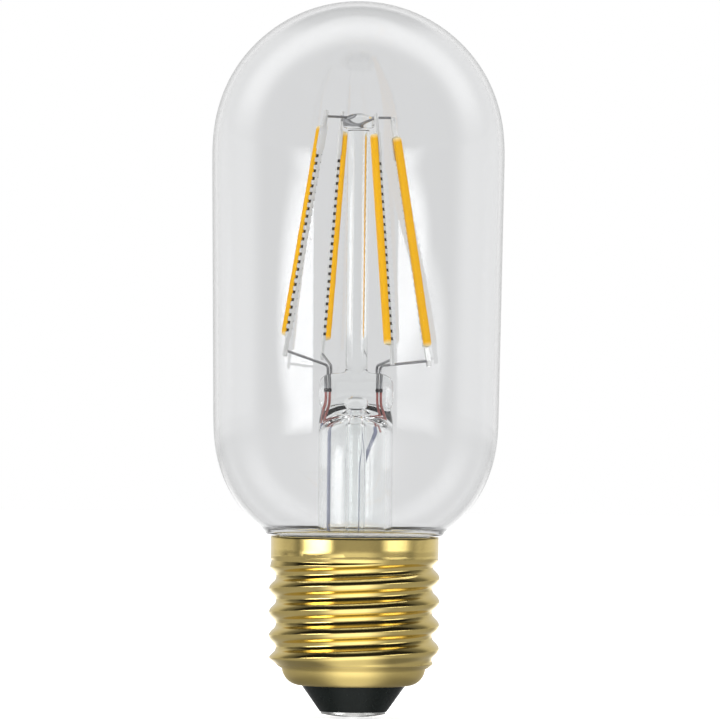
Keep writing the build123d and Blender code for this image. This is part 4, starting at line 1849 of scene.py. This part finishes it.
@dataclass
class Studio:
    """Camera, lamps, world and floor."""

    scale: float = 0.1537
    picture: int = 720
    foot_row: float = 717.0
    axis_top: Point = (360.0, 2.0)
    axis_foot: Point = (353.0, 717.0)
    distance: float = 1.2
    sensor: float = 36.0
    clip: Point = (0.05, 20.0)
    aim_height: float = 55.0
    bounces: int = 24
    floor_radius: float = 1.6
    floor_segments: int = 96
    floor_drop: float = 0.2
    floor_level: float = 0.86
    floor_roughness: float = 0.9
    floor_lift: float = 0.65
    fill: float = 0.62
    front_view: float = 0.16
    stem_view: float = 0.6
    glass_view: float = 0.742
    side_view: float = 0.86
    front_edge: Point = (-0.2, 0.15)
    metal_edge: Point = (-0.1, 0.3)
    lens_sides: Point = (0.45, 0.2)
    lens_dim: float = 0.5
    arch_rise: Point = (0.05, 0.5)
    arch_low: float = 0.12
    # Painted light that the floor shows to mirrors: a painted contact shadow close to the lamp, a bright
    # ring, and dimmer far off and toward the sides.
    floor_painted_light: tuple[Point, ...] = ((0.014, 0.5), (0.022, 1.0), (0.18, 1.0), (0.45, 0.4))
    floor_sides: Point = (1.6, 0.4)
    floor_turn: Point = (0.2, 0.8)
    floor_fade: Point = (0.12, 0.9)
    softboxes: tuple[Softbox, ...] = (
        Softbox("LeftSoftbox", -53.0, 0.2, 0.9, (0.52, 0.42), 6.4),
        Softbox("RightSoftbox", 52.0, 0.2, 0.9, (0.52, 0.42), 5.4),
        Softbox("TopSoftbox", 180.0, 0.95, 0.22, (0.7, 0.5), 6.0),
    )
    cards: tuple[GlowCard, ...] = (
        GlowCard("RightFarGlow", 43.6, 88.0, 0.055, 0.061, 0.037, 0.024, 5.8, Show.FAR, slat=0.002),
        GlowCard("LeftFarGlow", -40.3, -79.0, 0.055, 0.0755, 0.0175, 0.025, 5.4, Show.FAR, slat=0.002),
        GlowCard("LeftFarHaze", -40.3, -100.0, 0.06, 0.06, 0.022, 0.026, 2.7, Show.FAR, 0.7, slat=0.002),
        GlowCard(
            "LeftStemGlow", -41.7, -79.5, 0.055, 0.034, 0.014, 0.017, 5.5, Show.FAR, 0.8,
            slat=0.002, slat_slope=-0.8,
        ),
        GlowCard("LeftMetalGlow", -27.0, -84.0, 0.94, 0.03, 0.1, 0.05, 7.0, Show.METAL, soft=0.3),
        GlowCard("RightMetalGlow", 34.0, 92.0, 0.9, 0.03, 0.1, 0.05, 2.8, Show.METAL, soft=0.3),
    )

    def build(self) -> None:
        """Sets up the whole studio."""
        self.camera()
        self.world()
        self.floor()
        aim = Vector((0.0, 0.0, self.aim_height * MM))
        for softbox in self.softboxes:
            softbox.build(aim)
        for card in self.cards:
            card.build()
        scene = bpy.context.scene
        scene.view_settings.view_transform = "Standard"
        scene.cycles.max_bounces = self.bounces
        scene.cycles.transmission_bounces = self.bounces
        scene.cycles.transparent_max_bounces = self.bounces

    def camera(self) -> None:
        """Places the camera level with the lamp's middle, with the small lean of the picture."""
        data = bpy.data.cameras.new("Camera")
        camera = bpy.data.objects.new("Camera", data)
        middle = self.picture / 2
        lean = math.atan2(self.axis_top[0] - self.axis_foot[0], self.axis_foot[1] - self.axis_top[1])
        share = (middle - self.axis_top[1]) / (self.axis_foot[1] - self.axis_top[1])
        axis_here = self.axis_top[0] + (self.axis_foot[0] - self.axis_top[0]) * share
        across = (middle - axis_here) * self.scale * MM
        height = (self.foot_row - middle) * self.scale * MM
        camera.location = (across, -self.distance, height)
        camera.rotation_euler = (math.radians(90.0), -lean, 0.0)
        data.sensor_width = self.sensor
        data.lens = self.sensor * self.distance / (self.picture * self.scale * MM)
        data.clip_start, data.clip_end = self.clip
        bpy.context.scene.collection.objects.link(camera)
        bpy.context.scene.camera = camera

    def world(self) -> None:
        """Builds the white ground for the camera and the studio that glass and metal show."""
        world = bpy.data.worlds.new("Studio")
        bpy.context.scene.world = world
        world.use_nodes = True
        sheet = NodeSheet(world.node_tree)
        ground = world.node_tree.nodes["Background"]
        parts = sheet.place("Generated")
        glossy = sheet.light_path(Ray.GLOSSY)
        metal = sheet.math("GREATER_THAN", glossy, sheet.light_path(Ray.SINGULAR))
        shown = sheet.between(metal, self.glass_level(sheet, parts), self.metal_level(sheet, parts))
        mirrors = sheet.math("MAXIMUM", glossy, sheet.light_path(Ray.TRANSMISSION))
        level = sheet.between(mirrors, self.fill, shown)
        level = sheet.between(sheet.light_path(Ray.CAMERA), level, 1.0)
        ground.inputs["Color"].default_value = rgba(grey(1.0))
        sheet.link(level, ground.inputs["Strength"])

    def glass_level(self, sheet: NodeSheet, parts: dict) -> bpy.types.NodeSocket:
        """Brightness that glass shows by direction: a grey ground behind, paler sides and a soft arch above.

        Args:
            sheet: The world's sheet.
            parts: The direction's three parts, by axis.

        Returns:
            The brightness.
        """
        back = sheet.math("MULTIPLY_ADD", parts["Y"], 0.5, 0.5)
        rise = sheet.math("MULTIPLY_ADD", parts["Z"], 0.5, 0.5)
        behind = sheet.levels(back, ((0.95, self.side_view), (0.985, self.glass_view)))
        lens = sheet.levels(rise, ((0.74, 0.0), (0.79, 1.0), (0.88, 1.0), (0.92, 0.0)))
        middle = sheet.step(sheet.math("ABSOLUTE", parts["X"]), *self.lens_sides)
        dim = sheet.math("MULTIPLY_ADD", sheet.math("MULTIPLY", lens, middle), -self.lens_dim, 1.0)
        deep = sheet.step(sheet.light_path(Ray.DEPTH), *Show.FAR.value)
        front = sheet.between(deep, self.front_view, self.stem_view)
        open_sides = sheet.step(parts["Y"], *self.front_edge)
        level = sheet.between(open_sides, front, sheet.math("MULTIPLY", behind, dim))
        arch = sheet.levels(back, ((0.46, 0.0), (0.61, 1.0), (0.65, 1.0), (0.82, 0.0)))
        tall = sheet.between(sheet.step(parts["Z"], *self.arch_rise), self.arch_low, 1.0)
        return sheet.math("MULTIPLY_ADD", arch, tall, level)

    def metal_level(self, sheet: NodeSheet, parts: dict) -> bpy.types.NodeSocket:
        """Brightness that brushed metal shows by direction: dim sides and a dark room above the camera.

        Args:
            sheet: The world's sheet.
            parts: The direction's three parts, by axis.

        Returns:
            The brightness.
        """
        back = sheet.math("MULTIPLY_ADD", parts["Y"], 0.5, 0.5)
        rise = sheet.math("MULTIPLY_ADD", parts["Z"], 0.5, 0.5)
        around = sheet.levels(
            back, ((0.0, 0.42), (0.3, 0.38), (0.5, 0.2), (0.65, 0.16), (0.85, 0.6), (1.0, 0.7))
        )
        above = sheet.levels(rise, ((0.45, 1.0), (0.55, 0.8), (0.61, 0.04), (0.93, 0.04), (0.985, 1.0)))
        open_sides = sheet.step(parts["Y"], *self.metal_edge)
        return sheet.math("MULTIPLY", around, sheet.between(open_sides, above, 1.0))

    def floor(self) -> None:
        """Lays a pale floor that is white for the camera and keeps the lamp's shadow; to mirrors it glows
        with painted light, with a painted contact shadow near the lamp.
        """
        mesh = bmesh.new()
        bmesh.ops.create_circle(
            mesh, segments=self.floor_segments, radius=self.floor_radius, cap_ends=True
        )
        floor = to_object("floor", mesh)
        floor.location.z = -self.floor_drop * MM
        material, sheet = start_material("PaleFloor")
        shader = material.node_tree.nodes["Principled BSDF"]
        output = material.node_tree.nodes["Material Output"]
        shader.inputs["Base Color"].default_value = rgba(grey(self.floor_level))
        shader.inputs["Roughness"].default_value = self.floor_roughness
        shader.inputs["Specular IOR Level"].default_value = 0.0
        lift = sheet.add("ShaderNodeEmission", {"Strength": self.floor_lift})
        white = sheet.add("ShaderNodeAddShader")
        sheet.link(shader.outputs["BSDF"], white.inputs[0])
        sheet.link(lift.outputs["Emission"], white.inputs[1])
        camera = sheet.light_path(Ray.CAMERA)
        shown = sheet.shaders(camera, shader.outputs["BSDF"], white.outputs["Shader"])
        parts = sheet.place("Object")
        span = sheet.length(parts["X"], parts["Y"])
        # Painted light for mirrors: dim close to the lamp as a painted contact shadow, bright beyond it,
        # dimmer far off and at the sides.
        painted_floor_light = sheet.levels(span, self.floor_painted_light)
        side = sheet.math("DIVIDE", sheet.math("ABSOLUTE", parts["X"]), span)
        dim = sheet.between(sheet.step(side, *self.floor_turn), *self.floor_sides)
        open_sides = sheet.step(sheet.math("DIVIDE", parts["Y"], span), *self.front_edge)
        horizon = sheet.between(open_sides, self.front_view, self.side_view)
        mirrored = sheet.between(
            sheet.step(span, *self.floor_fade), sheet.math("MULTIPLY", painted_floor_light, dim), horizon
        )
        for ray, strength in ((Ray.GLOSSY, mirrored), (Ray.TRANSMISSION, self.glass_view)):
            glow = sheet.add("ShaderNodeEmission")
            sheet.feed(glow.inputs["Strength"], strength)
            shown = sheet.shaders(sheet.light_path(ray), shown, glow.outputs["Emission"])
        sheet.link(shown, output.inputs["Surface"])
        floor.data.materials.append(material)


def main() -> None:
    """Builds the lamp and its studio."""
    logging.basicConfig(level=logging.INFO, format="%(name)s %(message)s")
    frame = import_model()
    effects = Effects()
    finishes = FinishSet()
    Studio().build()
    PlainParts(frame["nodes"]).build(finishes, effects)
    Envelope().build(finishes.envelope.material(effects))
    GlassStem().build(finishes.stem.material(effects))
    filaments = FilamentSet()
    filaments.build(finishes.phosphor.material(effects))
    strip = frame["nodes"]["filament_strip_1"].data.materials[0]
    Welds().build(filaments, finishes.weld.material(effects), strip)
    ScrewShell().build(finishes.brass.material(effects))


if __name__ == "__main__":
    main()
